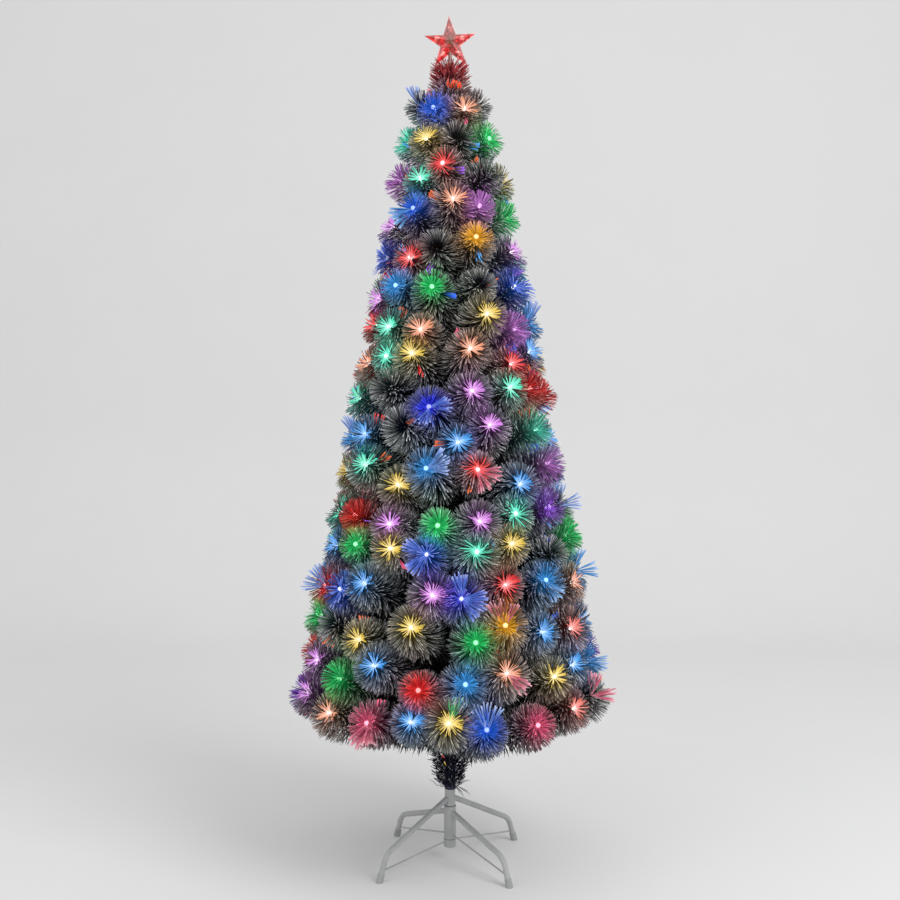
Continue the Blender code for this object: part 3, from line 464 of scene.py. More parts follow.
fibre = {
    "ahead": 0.002, "uneven": 0.35, "steps": (0.0, 0.07, 0.35, 0.90, 1.0), "profile": (0, 1.0, 1.0, 0.8, 0),
    "clumpTurn": (150, 190), "clumpStep": 9, "clumpLean": (62, 88), "clumpSteps": (0.0, 0.07, 0.5, 0.94, 1.0),
    "clumpProfile": (0, 1.0, 1.5, 1.5, 0), "clumpWhite": (1, 0.8, 0.1, 0, 0),
    "clumpBright": (1.3, 1.1, 0.85, 0.62, 0.5), "lampSteps": (-1.0, -0.3, 0.9, 1.7, 2.1, 2.2),
    "lampProfile": (0, 0.85, 1.0, 0.8, 0.35, 0), "lampBright": 1.8, "seed": 4000,
}
rungs = {
    "share": 0.6, "many": 5, "step": 0.0062, "start": 0.016, "length": 0.0500, "radius": 0.0011, "lean": 76,
    "wholeWire": 0.2, "steps": (0, 0.5, 0.72, 0.95, 1), "profile": (0, 0.5, 0.9, 1.1, 0),
    "white": (0, 0, 0, 0.06, 0.1), "bright": (0, 0, 0.5, 0.9, 0.9),
}
rungColours = ("orange", "red", "blue", "orange", "violet", "rose", "sky")
# How the photograph is laid out, in its pixels, and how far a branch is bent to bring its lamp into place
photo = {
    "middle": 450, "level": 411, "scale": 1172, "farthest": 34, "nearSide": 0.06, "edge": 0.985,
    "lampDrop": 0.0035, "mostAlong": 0.024, "mostUp": 0.020,
}
# Kind, colour, and where the photograph shows such lamps, in pixels across and down
photoLamps = (
    ("flower", "blue", ((425, 209), (433, 106))), ("flower", "gold", ((467, 237), (505, 617))),
    ("flower", "green", ((432, 286), (438, 535), (364, 542), (477, 642), (482, 140))),
    ("flower", "royal", ((440, 410),)), ("flower", "sky", ((426, 468), (465, 684), (536, 578))),
    ("flower", "red", ((425, 700),)), ("flower", "rose", ((385, 720),)), ("flower", "violet", ((545, 505),)),
    ("whirl", "red", ((443, 162), (478, 468))), ("whirl", "teal", ((477, 551), (512, 512))),
    ("soft", "green", ((560, 525), (343, 683))), ("soft", "violet", ((307, 690),)),
    ("soft", "red", ((371, 370), (530, 385))), ("soft", "pink", ((515, 327),)),
    ("soft", "teal", ((537, 428),)), ("fan", "sky", ((575, 570),)), ("fan", "royal", ((462, 598),)),
    ("fan", "blue", ((427, 553),)),
    ("spark", "yellow", (
        (428, 139), (493, 312), (411, 352), (397, 484), (403, 546), (513, 541), (358, 639), (411, 627),
        (449, 722), (562, 678),
    )),
    ("spark", "pink", (
        (397, 233), (379, 305), (471, 390), (388, 525), (480, 521), (432, 594), (318, 657), (491, 422),
    )),
    ("spark", "teal", ((420, 179), (495, 270), (387, 325), (374, 463), (323, 615))),
    ("spark", "sky", (
        (529, 346), (368, 394), (468, 441), (364, 583), (535, 629), (377, 663), (410, 721), (503, 484),
    )),
    ("spark", "peach", ((465, 108), (453, 189), (420, 328), (470, 341), (506, 672), (329, 711))),
    ("spark", "red", ((413, 265), (346, 505), (504, 571))), ("spark", "salmon", ((573, 627),)),
    ("plain", "white", ((436, 246), (489, 176), (458, 137), (403, 418))),
)
# (Tier, branch): kind, colour, and millimetres bent along the ring and up, for tips whose nearest lamp isn't
# theirs. None leaves the tip to chance
heldTips = {
    (1, 16): ("flower", "blue", -24, -18), (1, 17): ("flower", "rose", -14, -18),
    (1, 18): ("spark", "salmon", 0, -4), (1, 19): ("plain", "white", 0, 0), (2, 18): ("soft", "sky", 0, -10),
    (4, 8): ("flower", "red", 0, -8), (5, 14): ("soft", "green", 0, 18), (7, 11): ("soft", "pink", -24, 20),
    (9, 5): ("plain", "white", 24, 20), (9, 8): ("spark", "teal", 6, 20), (10, 7): None,
    (12, 4): ("plain", "white", 0, 0), (14, 2): ("soft", "pink", -24, 10),
    (14, 3): ("soft", "green", -10, 0), (15, 5): ("soft", "pink", 24, 4),
    (16, 3): ("flower", "teal", 24, 10), (17, 0): ("plain", "white", 0, 17),
    (17, 3): ("plain", "white", 0, 12),
}
# The lamps of all the other tips, taken in turn
lampOrder = (
    ("spark", "yellow"), ("spark", "pink"), ("spark", "sky"), ("plain", "white"), ("spark", "teal"),
    ("flower", "green"), ("spark", "peach"), ("soft", "violet"), ("spark", "red"), ("spark", "sky"),
    ("plain", "white"), ("whirl", "teal"), ("fan", "blue"), ("spark", "yellow"), ("spark", "pink"),
    ("flower", "sky"), ("soft", "red"), ("fan", "sky"),
)
# Tier: {branch: (colour of its strips, turn and lean of each bundle in degrees)}. On a head that faces the
# front, 0 is to the left, 90 down, 180 to the right and 270 up
extraStrips = {
    1: {
        13: ("rose", ((120, 68), (78, 68))), 15: ("green", ((250, 78),)),
        16: ("ice", ((244, 66), (296, 66))), 19: ("rose", ((90, 20), (265, 50))),
    },
    2: {15: ("rose", ((124, 72),)), 18: ("sky", ((90, 22),))},
    3: {14: ("rose", ((292, 74), (246, 74)))},
    4: {
        8: ("ice", ((270, 38), (90, 8))), 12: ("blue", ((175, 70), (132, 70), (275, 60))),
        14: ("sky", ((88, 72),)), 16: ("sky", ((90, 12), (270, 58))),
    },
    5: {10: ("blue", ((335, 72), (48, 72)))},
    6: {13: ("ice", ((90, 14), (270, 62)))},
    7: {8: ("ice", ((215, 72), (178, 72))), 9: ("rose", ((160, 72), (105, 72)))},
    8: {4: ("ice", ((270, 35),))},
    9: {6: ("blue", ((180, 70), (90, 70)))},
    11: {7: ("ice", ((270, 50),))},
    14: {0: ("sky", ((30, 74), (60, 74)))},
    17: {3: ("ice", ((270, 42),))},
}


def tierShape(tier):
    # Height and radius of the tips on a cone with a rounded crown, the branch tilt, and the collar's height
    climb = tier * layout["pitch"]
    crown = climb / (layout["tiers"] * layout["pitch"])
    radius = layout["lowestRadius"] * (1 - layout["taper"] * crown) * (1 - crown ** layout["crownPower"])
    share = crown ** layout["tiltPower"]
    size = 1 - (1 - layout["crownBrush"]) * share
    low = math.radians(layout["lowTilt"])
    tilt = low + (math.radians(layout["crownTilt"]) - low) * share
    depth = min(layout["depth"] * size, layout["depthShare"] * radius / math.cos(tilt))
    height = layout["lowestTip"] + climb
    reach = radius - depth * math.cos(tilt) - layout["poleRadius"]
    collar = height - depth * math.sin(tilt) - reach * math.tan(math.radians(layout["rise"]) + tilt - low)
    count = max(layout["fewestTips"], round(fullTurn * radius / layout["tipSpacing"]))
    return {
        "height": height, "radius": radius, "tilt": tilt, "size": size, "depth": depth, "collar": collar,
        "count": count,
    }


def frontTips():
    # The tips on the near side before any is bent: angle, radius, height, pixels to a metre, and the place in
    # the picture
    tips = {}
    for tier in range(layout["tiers"]):
        shape = tierShape(tier)
        radius = shape["radius"]
        for branch in range(shape["count"]):
            azimuth = fullTurn * (branch + tier * layout["turnShare"]) / shape["count"]
            y = radius * math.sin(azimuth)
            if y < photo["nearSide"]:
                size = photo["scale"] / (viewPoint["distance"] + y)
                across = photo["middle"] + size * radius * math.cos(azimuth)
                down = photo["level"] + size * (viewPoint["height"] - shape["height"])
                tips[tier + 1, branch] = (azimuth, radius, shape["height"], size, across, down)
    return tips


def bendToward(tip, across, down):
    # Millimetres along the ring and up that bring a tip to a place in the picture, as far as a wire bends
    azimuth, radius, height, size, _, _ = tip
    x = (across - photo["middle"]) / size
    along = 0
    if abs(x) < photo["edge"] * radius:
        along = radius * ((-math.acos(x / radius) - azimuth + math.pi) % fullTurn - math.pi)
    up = viewPoint["height"] - (down - photo["level"]) / size - photo["lampDrop"] - height
    return [
        round(1000 * max(-most, min(most, bend)))
        for bend, most in ((along, photo["mostAlong"]), (up, photo["mostUp"]))
    ]


def placeLamps():
    # Each lamp of the photograph goes to the nearest tip that is free, the closest pairs first
    tips, lamps, used = frontTips(), dict(heldTips), set()
    seen = [(kind, colour, *place) for kind, colour, places in photoLamps for place in places]
    pairs = sorted(
        (math.hypot(tip[4] - across, tip[5] - down), number, key)
        for number, (_, _, across, down) in enumerate(seen) for key, tip in tips.items()
    )
    for distance, number, key in pairs:
        if distance < photo["farthest"] and number not in used and key not in lamps:
            kind, colour, across, down = seen[number]
            lamps[key] = (kind, colour, *bendToward(tips[key], across, down))
            used.add(number)
    return lamps


frontLamps = placeLamps()


def branchesOf(tier):
    # Root, bend and tip of each branch wire and the way its brush points. Each tip is bent a little off its
    # even place: at random, or toward its lamp in the photograph
    shape = tierShape(tier)
    count = shape["count"]
    chance = np.random.default_rng(bentByHand["seed"] + tier)
    azimuth = fullTurn * (np.arange(count) + tier * layout["turnShare"]) / count
    along = chance.uniform(-1, 1, count) * bentByHand["along"]
    up = chance.uniform(-1, 1, count) * bentByHand["up"]
    radius = shape["radius"] - bentByHand["inward"] * chance.random(count)
    lamps = []
    for index in range(count):
        lamp = frontLamps.get((tier + 1, index))
        if lamp:
            along[index], up[index] = lamp[2] / 1000, lamp[3] / 1000
        else:
            lamp = lampOrder[(index * 5 + tier * 7) % len(lampOrder)]
        lamps.append((lamp[0], lamp[1]))
    bent = azimuth + along / radius
    tip = around(bent, radius, shape["height"] + up)
    level = math.radians(layout["lowTilt"])
    tilt = level + brush["crownAim"] * (shape["tilt"] - level) + chance.normal(0, bentByHand["turned"], count)
    aimed = bent + chance.normal(0, bentByHand["turned"], count)
    aim = around(aimed, np.cos(tilt), np.sin(tilt))
    root = around(azimuth, layout["poleRadius"] + 0.002, shape["collar"])
    size = shape["size"] * chance.uniform(bentByHand["smallest"], bentByHand["largest"], count)
    return {
        "root": root, "bend": tip - aim * shape["depth"], "tip": tip, "aim": aim, "size": size,
        "lamps": lamps, "collar": shape["collar"], "radius": shape["radius"],
    }


def alongWire(wires, share):
    # Quadratic curve (1-s)^2 root + 2s(1-s) bend + s^2 tip, and its direction. share is (branches, needles)
    s = share[..., None]
    root, bend, tip = (wires[key][:, None] for key in ("root", "bend", "tip"))
    place = (1 - s) ** 2 * root + 2 * s * (1 - s) * bend + s ** 2 * tip
    heading = unit(2 * (1 - s) * (bend - root) + 2 * s * (tip - bend))
    return place, heading


def needleLines(place, heading, turn, lean, length, curl, steps):
    # A needle leaves the wire at `lean` and curls round it: start + length * (u * aim + curl * u^2 * tangent)
    side = sideOf(heading)
    across = np.cross(heading, side)
    outward = np.cos(turn)[..., None] * side + np.sin(turn)[..., None] * across
    tangent = np.cross(heading, outward)
    aim = np.cos(lean)[..., None] * heading + np.sin(lean)[..., None] * outward
    u = np.asarray(steps)[:, None]
    bow = u ** 2 * curl[..., None, None]
    run = u * aim[..., None, :] + bow * tangent[..., None, :]
    run = place[..., None, :] + length[..., None, None] * run
    return run.reshape(-1, len(steps), 3)


def uprightNeedles(azimuth, radius, height, sway, lean, length, curl, steps):
    # Needles round an upright wire. There a turn is counted from +Y, so a quarter turn comes off the azimuth
    place = around(azimuth, radius, height)[None]
    upright = np.broadcast_to([0, 0, 1.0], place.shape)
    return needleLines(place, upright, azimuth[None] - math.pi / 2 + sway, lean, length, curl, steps)


# How far the light of a lamp, painted onto the needles as glow and tint, carries, in metres. It reaches no
# piece whose middle is more than levels above or below it
spill = {
    "ahead": 0.006, "core": 0.014, "ringAt": 0.025, "ringWidth": 0.008, "halo": 0.050, "paintedTint": 0.036,
    "farthest": 0.12, "levels": 0.24,
}
# How the needles take the painted light: tint of the base, painted shadow round the lamp, glow from root to
# frosted end
taken = {
    "tint": 1.8, "tintMost": 0.94, "shadow": 2.6, "shadowMost": 0.92, "pale": 0.20, "glowMost": 1.6,
    "rootGlow": 0.14, "frostGlow": 0.96,
}
# The star's red light, painted onto the needles near it as glow and as a tint of their base colour
starGlow = {
    "place": (0, -0.004, 1.738), "colour": (1.0, 0.05, 0.05), "power": 0.34, "paintedTintColour": (1.0, 0.08, 0.10),
    "paintedTint": 2.2, "reach": 0.066,
}
allWires = [branchesOf(tier) for tier in range(layout["tiers"])]
lampPlace = np.concatenate([wires["tip"] + spill["ahead"] * wires["aim"] for wires in allWires])
lampColour = np.array([colours[colour] for wires in allWires for _, colour in wires["lamps"]])
lampLight = np.array([lampKinds[kind]["light"] for wires in allWires for kind, _ in wires["lamps"]])
print("tips:", len(lampPlace))


def lightOn(points):
    # Painted lamp light: at a distance d a lamp glows through the brush with core * exp(-(d/reach)^2), lights
    # the frosted ends with ring * exp(-((d-ringAt)/ringWidth)^2) + halo * exp(-(d/reach)^2), and paints its
    # tint on what is near with wide * exp(-(d/reach)^2), each with its own reach. The star's light and tint
    # are painted on what is right below it
    deep, light, paintedTint = (np.zeros((len(points), 3)) for _ in range(3))
    inRange = np.abs(lampPlace[:, 2] - points[:, 2].mean()) < spill["levels"]
    lamps = zip(lampPlace[inRange], lampColour[inRange], lampLight[inRange])
    for place, colour, (core, ring, halo, wide) in lamps:
        apart = np.sqrt(((points - place) ** 2).sum(1))
        close = np.flatnonzero(apart < spill["farthest"])
        d = apart[close, None]
        atRing = np.exp(-((d - spill["ringAt"]) / spill["ringWidth"]) ** 2)
        deep[close] += core * np.exp(-(d / spill["core"]) ** 2) * colour
        light[close] += (ring * atRing + halo * np.exp(-(d / spill["halo"]) ** 2)) * colour
        paintedTint[close] += wide * np.exp(-(d / spill["paintedTint"]) ** 2) * colour
    apart = ((points - starGlow["place"]) ** 2).sum(1)
    near = np.exp(-apart / starGlow["reach"] ** 2)[:, None]
    light += starGlow["power"] * near * starGlow["colour"]
    return deep, light, paintedTint + starGlow["paintedTint"] * near * starGlow["paintedTintColour"]


def needleColours(points, frost, bright, dark):
    # Dark root to frosted end. Near a lamp the base takes its painted tint; right round it painted shadow
    # leaves only the painted glow
    deep, light, paintedTint = lightOn(points)
    depth = paintedTint.max(1)
    tint = paintedTint / np.maximum(depth, 1e-4)[:, None]
    held = np.clip(depth * taken["tint"], 0, 1)
    shade = blendColours(np.array(dark), np.array(brush["frost"]), frost) * bright[:, None]
    shade = shade * (1 - taken["tintMost"] * held[:, None] * (1 - tint))
    shade = shade * (1 - np.clip(deep.max(1) * taken["shadow"], 0, taken["shadowMost"]))[:, None]
    strength = light.max(1)
    hue = light / np.maximum(strength, 1e-4)[:, None]
    pale = blendColours(hue, np.ones(3), taken["pale"] * frost)
    reached = taken["rootGlow"] + taken["frostGlow"] * frost
    glow = pale * (np.minimum(strength, taken["glowMost"]) * reached * bright)[:, None]
    return shade, glow + deep * bright[:, None] ** 2


def putNeedles(name, parts, body, node, dark):
    # Flocked needles in one piece that takes the place of one of the model's
    whole = joinParts(parts)
    whole["shade"], whole["glow"] = needleColours(whole["points"], whole["frost"], whole["bright"], dark)
    piece = putMesh(name, whole, needleLook, body)
    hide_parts(node)


def plainNeedles(lines, frost, chance):
    # Plain needles of three steps, where the others cover them
    bright = chance.uniform(*brush["innerBright"], (len(lines), 1))
    return spikePart(lines, brush["innerRadius"] * np.array([0, 1.0, 0]), frost=frost, bright=bright)


def makeTierNeedles(tier, body):
    # Long needles on the outer part of each wire, plainer ones behind them and on the pole, all in one piece
    wires = allWires[tier]
    chance = np.random.default_rng(brush["seed"] * 100 + tier)
    count, size = len(wires["tip"]), wires["size"][:, None]
    stretches = (wires["bend"][0] - wires["root"][0], wires["tip"][0] - wires["bend"][0])
    runLength = sum(np.linalg.norm(stretch) for stretch in stretches)
    reach = min(brush["reach"], runLength - brush["rootGap"])
    many = int(brush["needles"] * reach / brush["reach"])
    back = brush["seat"] + (reach - brush["seat"]) * ((np.arange(many) + 0.5) / many) ** brush["crowding"]
    turn = np.arange(many)[None] * goldenTurn + chance.uniform(0, fullTurn, (count, 1))
    turn = turn + chance.normal(0, 0.10, (count, many))
    front = np.exp(-(back - brush["seat"]) / brush["frontRun"])
    closed = np.array([lampKinds[kind]["frontLean"] for kind, _ in wires["lamps"]])[:, None]
    lean = np.radians(brush["lean"] - closed * front) + chance.normal(0, 0.08, (count, many))
    length = size * brush["needleLength"] * (1 - brush["frontShort"] * front)
    length = length * chance.uniform(0.93, 1.04, (count, many))
    curl = chance.uniform(brush["straightest"], brush["mostCurl"], (count, 1))
    curl = curl * np.where(chance.random((count, 1)) < 0.5, -1, 1) + chance.normal(0, 0.06, (count, many))
    place, heading = alongWire(wires, 1 - np.broadcast_to(back / runLength, (count, many)))
    lines = needleLines(place, heading, turn, lean, length, curl, needleSteps)
    frostiness = chance.uniform(*brush["frostiness"], (len(lines), 1))
    frostiness = frostiness * np.repeat(chance.uniform(0.85, 1.0, count), many)[:, None]
    parts = [spikePart(
        lines, brush["needleRadius"] * np.array([0, 0.62, 1.0, 0]), flatness=0.6,
        frost=frostiness * smooth(*brush["frosted"], needleSteps),
        bright=chance.uniform(*brush["bright"], (len(lines), 1)),
    )]
    inner = runLength - reach - brush["innerGap"]
    if inner > brush["leastInner"]:
        many = int(brush["innerNeedles"] * inner / brush["innerRun"])
        back = reach + inner * (np.arange(many) + 0.5) / many
        turn = np.arange(many)[None] * goldenTurn + chance.uniform(0, fullTurn, (count, 1))
        lean = chance.normal(math.radians(brush["innerLean"]), 0.14, (count, many))
        length = brush["innerLength"] * chance.uniform(0.85, 1.1, (count, many))
        place, heading = alongWire(wires, 1 - np.broadcast_to(back / runLength, (count, many)))
        lines = needleLines(place, heading, turn, lean, length, 0 * length, innerSteps)
        frost = brush["innerFrost"] * chance.uniform(0.2, 1.0, (len(lines), 1)) * innerSteps
        parts.append(plainNeedles(lines, frost, chance))
    many = brush["poleNeedles"]
    azimuth = np.arange(many) * goldenTurn
    height = wires["collar"] + layout["pitch"] * (np.arange(many) / many - 0.5)
    length = min(brush["poleLength"], 0.8 * wires["radius"]) * chance.uniform(0.8, 1.1, (1, many))
    lean = np.full((1, many), brush["poleLean"])
    radius = layout["poleRadius"] + brush["poleSeat"]
    lines = uprightNeedles(azimuth, radius, height, 0, lean, length, 0 * length, innerSteps)
    parts.append(plainNeedles(lines, 0.3 * innerSteps[None], chance))
    putNeedles(f"needles_{tier + 1:02d}", parts, body, f"tier_{tier + 1:02d}", brush["dark"])


def makeTierWires(tier, body):
    # Twisted wires from the collar to the tips, as tubes along the same curve
    wires = allWires[tier]
    share = np.broadcast_to(np.linspace(0, 0.985, 7), (len(wires["tip"]), 7))
    place, _ = alongWire(wires, share)
    putMesh(f"wires_{tier + 1:02d}", tubePart(place, brush["wire"], 5), wireLook, body)


def litPart(lines, radius, profile, hue, white, bright, vary=None, **shape):
    # Fibres whose light runs from white * bright at the lamp to their own colour further out
    tone = hue + (1 - hue) * np.array(white)[:, None]
    glow = (tone * np.array(bright)[:, None])[None]
    if vary is not None:
        glow = glow * vary[:, None, None]
    base = np.broadcast_to(hue * 0.30 + 0.006, glow.shape)
    return spikePart(lines, radius * np.array(profile), shade=base, glow=glow, **shape)


def raysAt(tip, aim, turn, lean, length, curl, steps):
    # Fibres that leave a tip together, just ahead of it
    place = np.broadcast_to(tip + fibre["ahead"] * aim, (1, len(turn), 3))
    heading = np.broadcast_to(aim, place.shape)
    curls = np.full((1, len(turn)), curl)
    return needleLines(place, heading, turn[None], lean[None], length[None], curls, steps)


def makeStrips(tip, aim, size, hue, bundles, normal, chance):
    # Flat strips fanned out to one side in a plane, cos(a) * middle + sin(a) * across, paler at their ends
    parts, one, many = [], np.ones((1, 1)), strip["many"]
    for turn, lean in bundles:
        turned, leant = np.radians([[turn]]), np.radians([[lean]])
        middle = needleLines(0 * aim[None, None], aim[None, None], turned, leant, one, 0 * one, (1.0,))[0, 0]
        across = unit(np.cross(normal, middle))
        facing = unit(np.cross(middle, across))
        angle = np.radians(strip["spread"] * np.linspace(-1, 1, many) + chance.normal(0, 2.0, many))[:, None]
        run = np.cos(angle) * middle + np.sin(angle) * across + chance.normal(0, 0.06, (many, 1)) * facing
        length = strip["length"] * size * chance.uniform(0.84, 1.04, many)[:, None, None]
        lines = tip + fibre["ahead"] * aim + run[:, None] * length * np.array(strip["steps"])[:, None]
        parts.append(litPart(
            lines, strip["radius"], strip["profile"], hue, strip["white"], strip["bright"],
            vary=chance.uniform(0.6, 1.1, many), sides=4, flatness=strip["flatness"], facing=facing,
        ))
    return parts


def makeRungs(wires, index, chance):
    # Lit fibres further back on a wire, one behind the other on the same side
    several = rungs["many"]
    share = 1 - (rungs["start"] + rungs["step"] * np.arange(several)[None]) / rungs["wholeWire"]
    one = {key: wires[key][index:index + 1] for key in ("root", "bend", "tip")}
    place, heading = alongWire(one, share)
    turn = chance.uniform(0, fullTurn) + chance.normal(0, 0.05, (1, several))
    lean = np.full((1, several), math.radians(rungs["lean"]))
    length = rungs["length"] * wires["size"][index] * chance.uniform(0.97, 1.03, (1, several))
    lines = needleLines(place, heading, turn, lean, length, 0 * length, rungs["steps"])
    hue = np.array(colours[rungColours[int(chance.integers(len(rungColours)))]])
    return litPart(lines, rungs["radius"], rungs["profile"], hue, rungs["white"], rungs["bright"])


def makeTierLights(tier, body):
    # Bare fibres round each lamp, white where they leave it and coloured further out, the lamp itself, and
    # the lit fibres further back on the wire
    wires = allWires[tier]
    chance = np.random.default_rng(fibre["seed"] + tier)
    parts = []
    for index, (kind, colour) in enumerate(wires["lamps"]):
        look = lampKinds[kind]
        tip, aim, hue = wires["tip"][index], wires["aim"][index], np.array(colours[colour])
        size = min(1, wires["size"][index])
        many = look["strands"]
        if many:
            uneven = np.arange(many) + chance.uniform(-fibre["uneven"], fibre["uneven"], many)
            turn = fullTurn * uneven / many + chance.uniform(0, 1)
            lean = np.radians(chance.uniform(look["low"], look["high"], many))
            length = look["length"] * chance.uniform(0.78, 1.06, many)
            lines = raysAt(tip, aim, turn, lean, length, look.get("curl", 0.0), fibre["steps"])
            parts.append(litPart(
                lines, look["radius"], fibre["profile"], hue, look["white"], look["bright"],
                vary=chance.uniform(0.65, 1.15, many),
            ))
            along = np.array(fibre["lampSteps"])[None, :, None]
            lamp = tip[None, None] + aim * look["lamp"] * along
            white, bright = look["lampWhite"] * np.ones(6), fibre["lampBright"] * np.ones(6)
            parts.append(litPart(lamp, look["lamp"], fibre["lampProfile"], hue, white, bright, sides=8))
        if "clump" in look:
            several = look["clump"]
            turn = np.radians(chance.uniform(*fibre["clumpTurn"]) + fibre["clumpStep"] * np.arange(several))
            lean = np.radians(chance.uniform(*fibre["clumpLean"], several))
            length = look["length"] * chance.uniform(0.9, 1.12, several)
            lines = raysAt(tip, aim, turn, lean, length, 0.0, fibre["clumpSteps"])
            parts.append(litPart(
                lines, look["radius"], fibre["clumpProfile"], hue, fibre["clumpWhite"], fibre["clumpBright"],
            ))
        extra = extraStrips.get(tier + 1, {}).get(index)
        if extra:
            facing = np.array([0, -1.0, 0])
            parts += makeStrips(tip, aim, size ** 2, np.array(colours[extra[0]]), extra[1], facing, chance)
        elif kind == "fan":
            parts += makeStrips(tip, aim, size, hue, strip["bundles"], aim, chance)
        if chance.random() < rungs["share"]:
            parts.append(makeRungs(wires, index, chance))
    putMesh(f"fibres_{tier + 1:02d}", joinParts(parts), strandLook, body)


sections = zip(("lower_section", "middle_section", "top_section"), layout["sectionTiers"])
for tier, body in enumerate([name for name, count in sections for _ in range(count)]):
    makeTierNeedles(tier, body)
    makeTierWires(tier, body)
    makeTierLights(tier, body)
print("tiers dressed")


def risingNeedles(spec, chance, radius, height, leanShare, lengthShare):
    # Needles up a wire. Lean and length run from their first value to their second by the given shares
    many = len(height)
    lean = np.radians(spec["lean"][0] + (spec["lean"][1] - spec["lean"][0]) * leanShare)[None]
    lean = lean + chance.normal(0, spec["leanSpread"], (1, many))
    length = (spec["length"][0] + (spec["length"][1] - spec["length"][0]) * lengthShare)[None]
    length = length * chance.uniform(*spec["lengthSpread"], (1, many))
    sway, curl = chance.normal(0, spec["sway"], (1, many)), chance.normal(*spec["curl"], (1, many))
    azimuth = np.arange(many) * goldenTurn
    lines = uprightNeedles(azimuth, radius, height, sway, lean, length, curl, needleSteps)
    low, high, power = spec["frost"]
    frost = low + (high - low) * chance.random((many, 1)) ** power
    return spikePart(
        lines, spec["radius"] * np.array(spec["profile"]), flatness=0.6,
        frost=frost * smooth(*spec["frosted"], needleSteps),
        bright=chance.uniform(*spec["bright"], (many, 1)),
    )


# Trunk garland: needles wound on the pole from the stand up to the first branches

garland = {
    "low": 0.1535, "high": 0.300, "core": 0.0122, "needles": 900, "lean": (46, 62), "leanSpread": 0.12,
    "length": (0.032, 0.039), "lengthSpread": (0.85, 1.08), "sway": 0.25, "curl": (0, 0.15),
    "radius": 0.0014, "profile": (0, 0.7, 1.0, 0), "frost": (0, 1, 3.2), "frosted": (0.48, 0.92),
    "bright": (0.25, 0.85), "dark": (0.004, 0.004, 0.048), "seed": 31, "winding": 0.011, "ripple": 0.07,
    "columns": 24, "rows": 60, "bore": 0.0100, "wider": 0.0016, "widerBelow": 0.1625,
    "strays": (
        ((-0.0275, 0.1635), (-0.0466, 0.1805)), ((-0.0180, 0.1600), (-0.0262, 0.1665)),
        ((0.0254, 0.1680), (0.0424, 0.1780)), ((0.0148, 0.1590), (0.0318, 0.1400)),
        ((0.0250, 0.1570), (0.0445, 0.1446)),
    ),
    "strayRadius": 0.0042, "strayRoot": 0.1620, "glintLength": 0.040, "glintRadius": 0.0013,
    "glints": (
        ("red", 0.236, 0.012), ("yellow", 0.205, -0.010), ("red", 0.219, -0.014), ("blue", 0.252, 0.024),
    ),
}


def makeGarland(spec, body):
    # Needles leave the core at a lean that opens from steep at the foot to flat at the top, with a few strays
    chance = np.random.default_rng(spec["seed"])
    climb = (np.arange(spec["needles"]) + 0.5) / spec["needles"]
    height = spec["low"] + (spec["high"] - spec["low"]) * climb
    opened, grown = np.minimum(1, climb * 2.4), np.minimum(1, climb * 2)
    parts = [risingNeedles(spec, chance, spec["core"] * 0.8, height, opened, grown)]
    strays = []
    for near, far in spec["strays"]:
        near = np.array([near[0], -0.012, near[1]])
        far = np.array([far[0], -0.022, far[1]])
        start = np.array([0.7 * spec["core"] * np.sign(near[0]), 0, spec["strayRoot"]])
        bow = (near + far) / 2 + [0, 0, 0.0015]
        strays.append(np.array([start, start * 0.4 + near * 0.6, near, bow, far]))
    parts.append(spikePart(
        np.array(strays), spec["strayRadius"] * np.array([0, 0.25, 0.6, 1.0, 0]), flatness=0.35,
        frost=np.array([[0, 0.1, 0.5, 1.0, 1.0]]), bright=np.ones((1, 1)),
    ))
    putNeedles("garland_needles", parts, body, "trunk_garland", spec["dark"])
    # Core: wire wound on the pole, r = core * (1 + ripple * cos(winding)). Its hole is wider at the foot
    columns, rows = spec["columns"], spec["rows"]
    evenly = np.linspace(0, fullTurn, columns, endpoint=False)
    turn, climbs = np.meshgrid(evenly, np.linspace(spec["low"], spec["high"], rows))
    radius = spec["core"] * (1 + spec["ripple"] * np.cos(turn + climbs * fullTurn / spec["winding"]))
    outer = around(turn, radius, climbs)
    inner = around(turn, spec["bore"] + spec["wider"] * (climbs < spec["widerBelow"]), climbs)
    a, b, c, d = gridCorners(2 * rows, columns, closed=True)
    triangles = np.concatenate([np.stack([a, b, c], 1), np.stack([a, c, d], 1)])
    core = {"points": np.concatenate([outer, inner[::-1]]).reshape(-1, 3), "triangles": triangles}
    putMesh("garland_core", core, woundLook, body)
    # A few lit fibres among the needles
    lights = []
    for colour, height, x in spec["glints"]:
        start = np.array([x * 0.3, -0.008, height - 0.012])
        heading = unit(np.array([x, -0.030, 0.030]))
        ray = start + heading * (spec["glintLength"] * np.array((0, 0.5, 0.75, 0.96, 1)))[:, None]
        lights.append(litPart(
            ray[None], spec["glintRadius"], [0, 0.5, 0.9, 1.0, 0], np.array(colours[colour]),
            (0, 0, 0, 0.1, 0.2), (0, 0, 0.4, 0.8, 0.8),
        ))
    putMesh("garland_fibres", joinParts(lights), strandLook, body)


makeGarland(garland, "lower_section")
print("garland made")

# Leader: the upright tip in the top of the pole, under the star

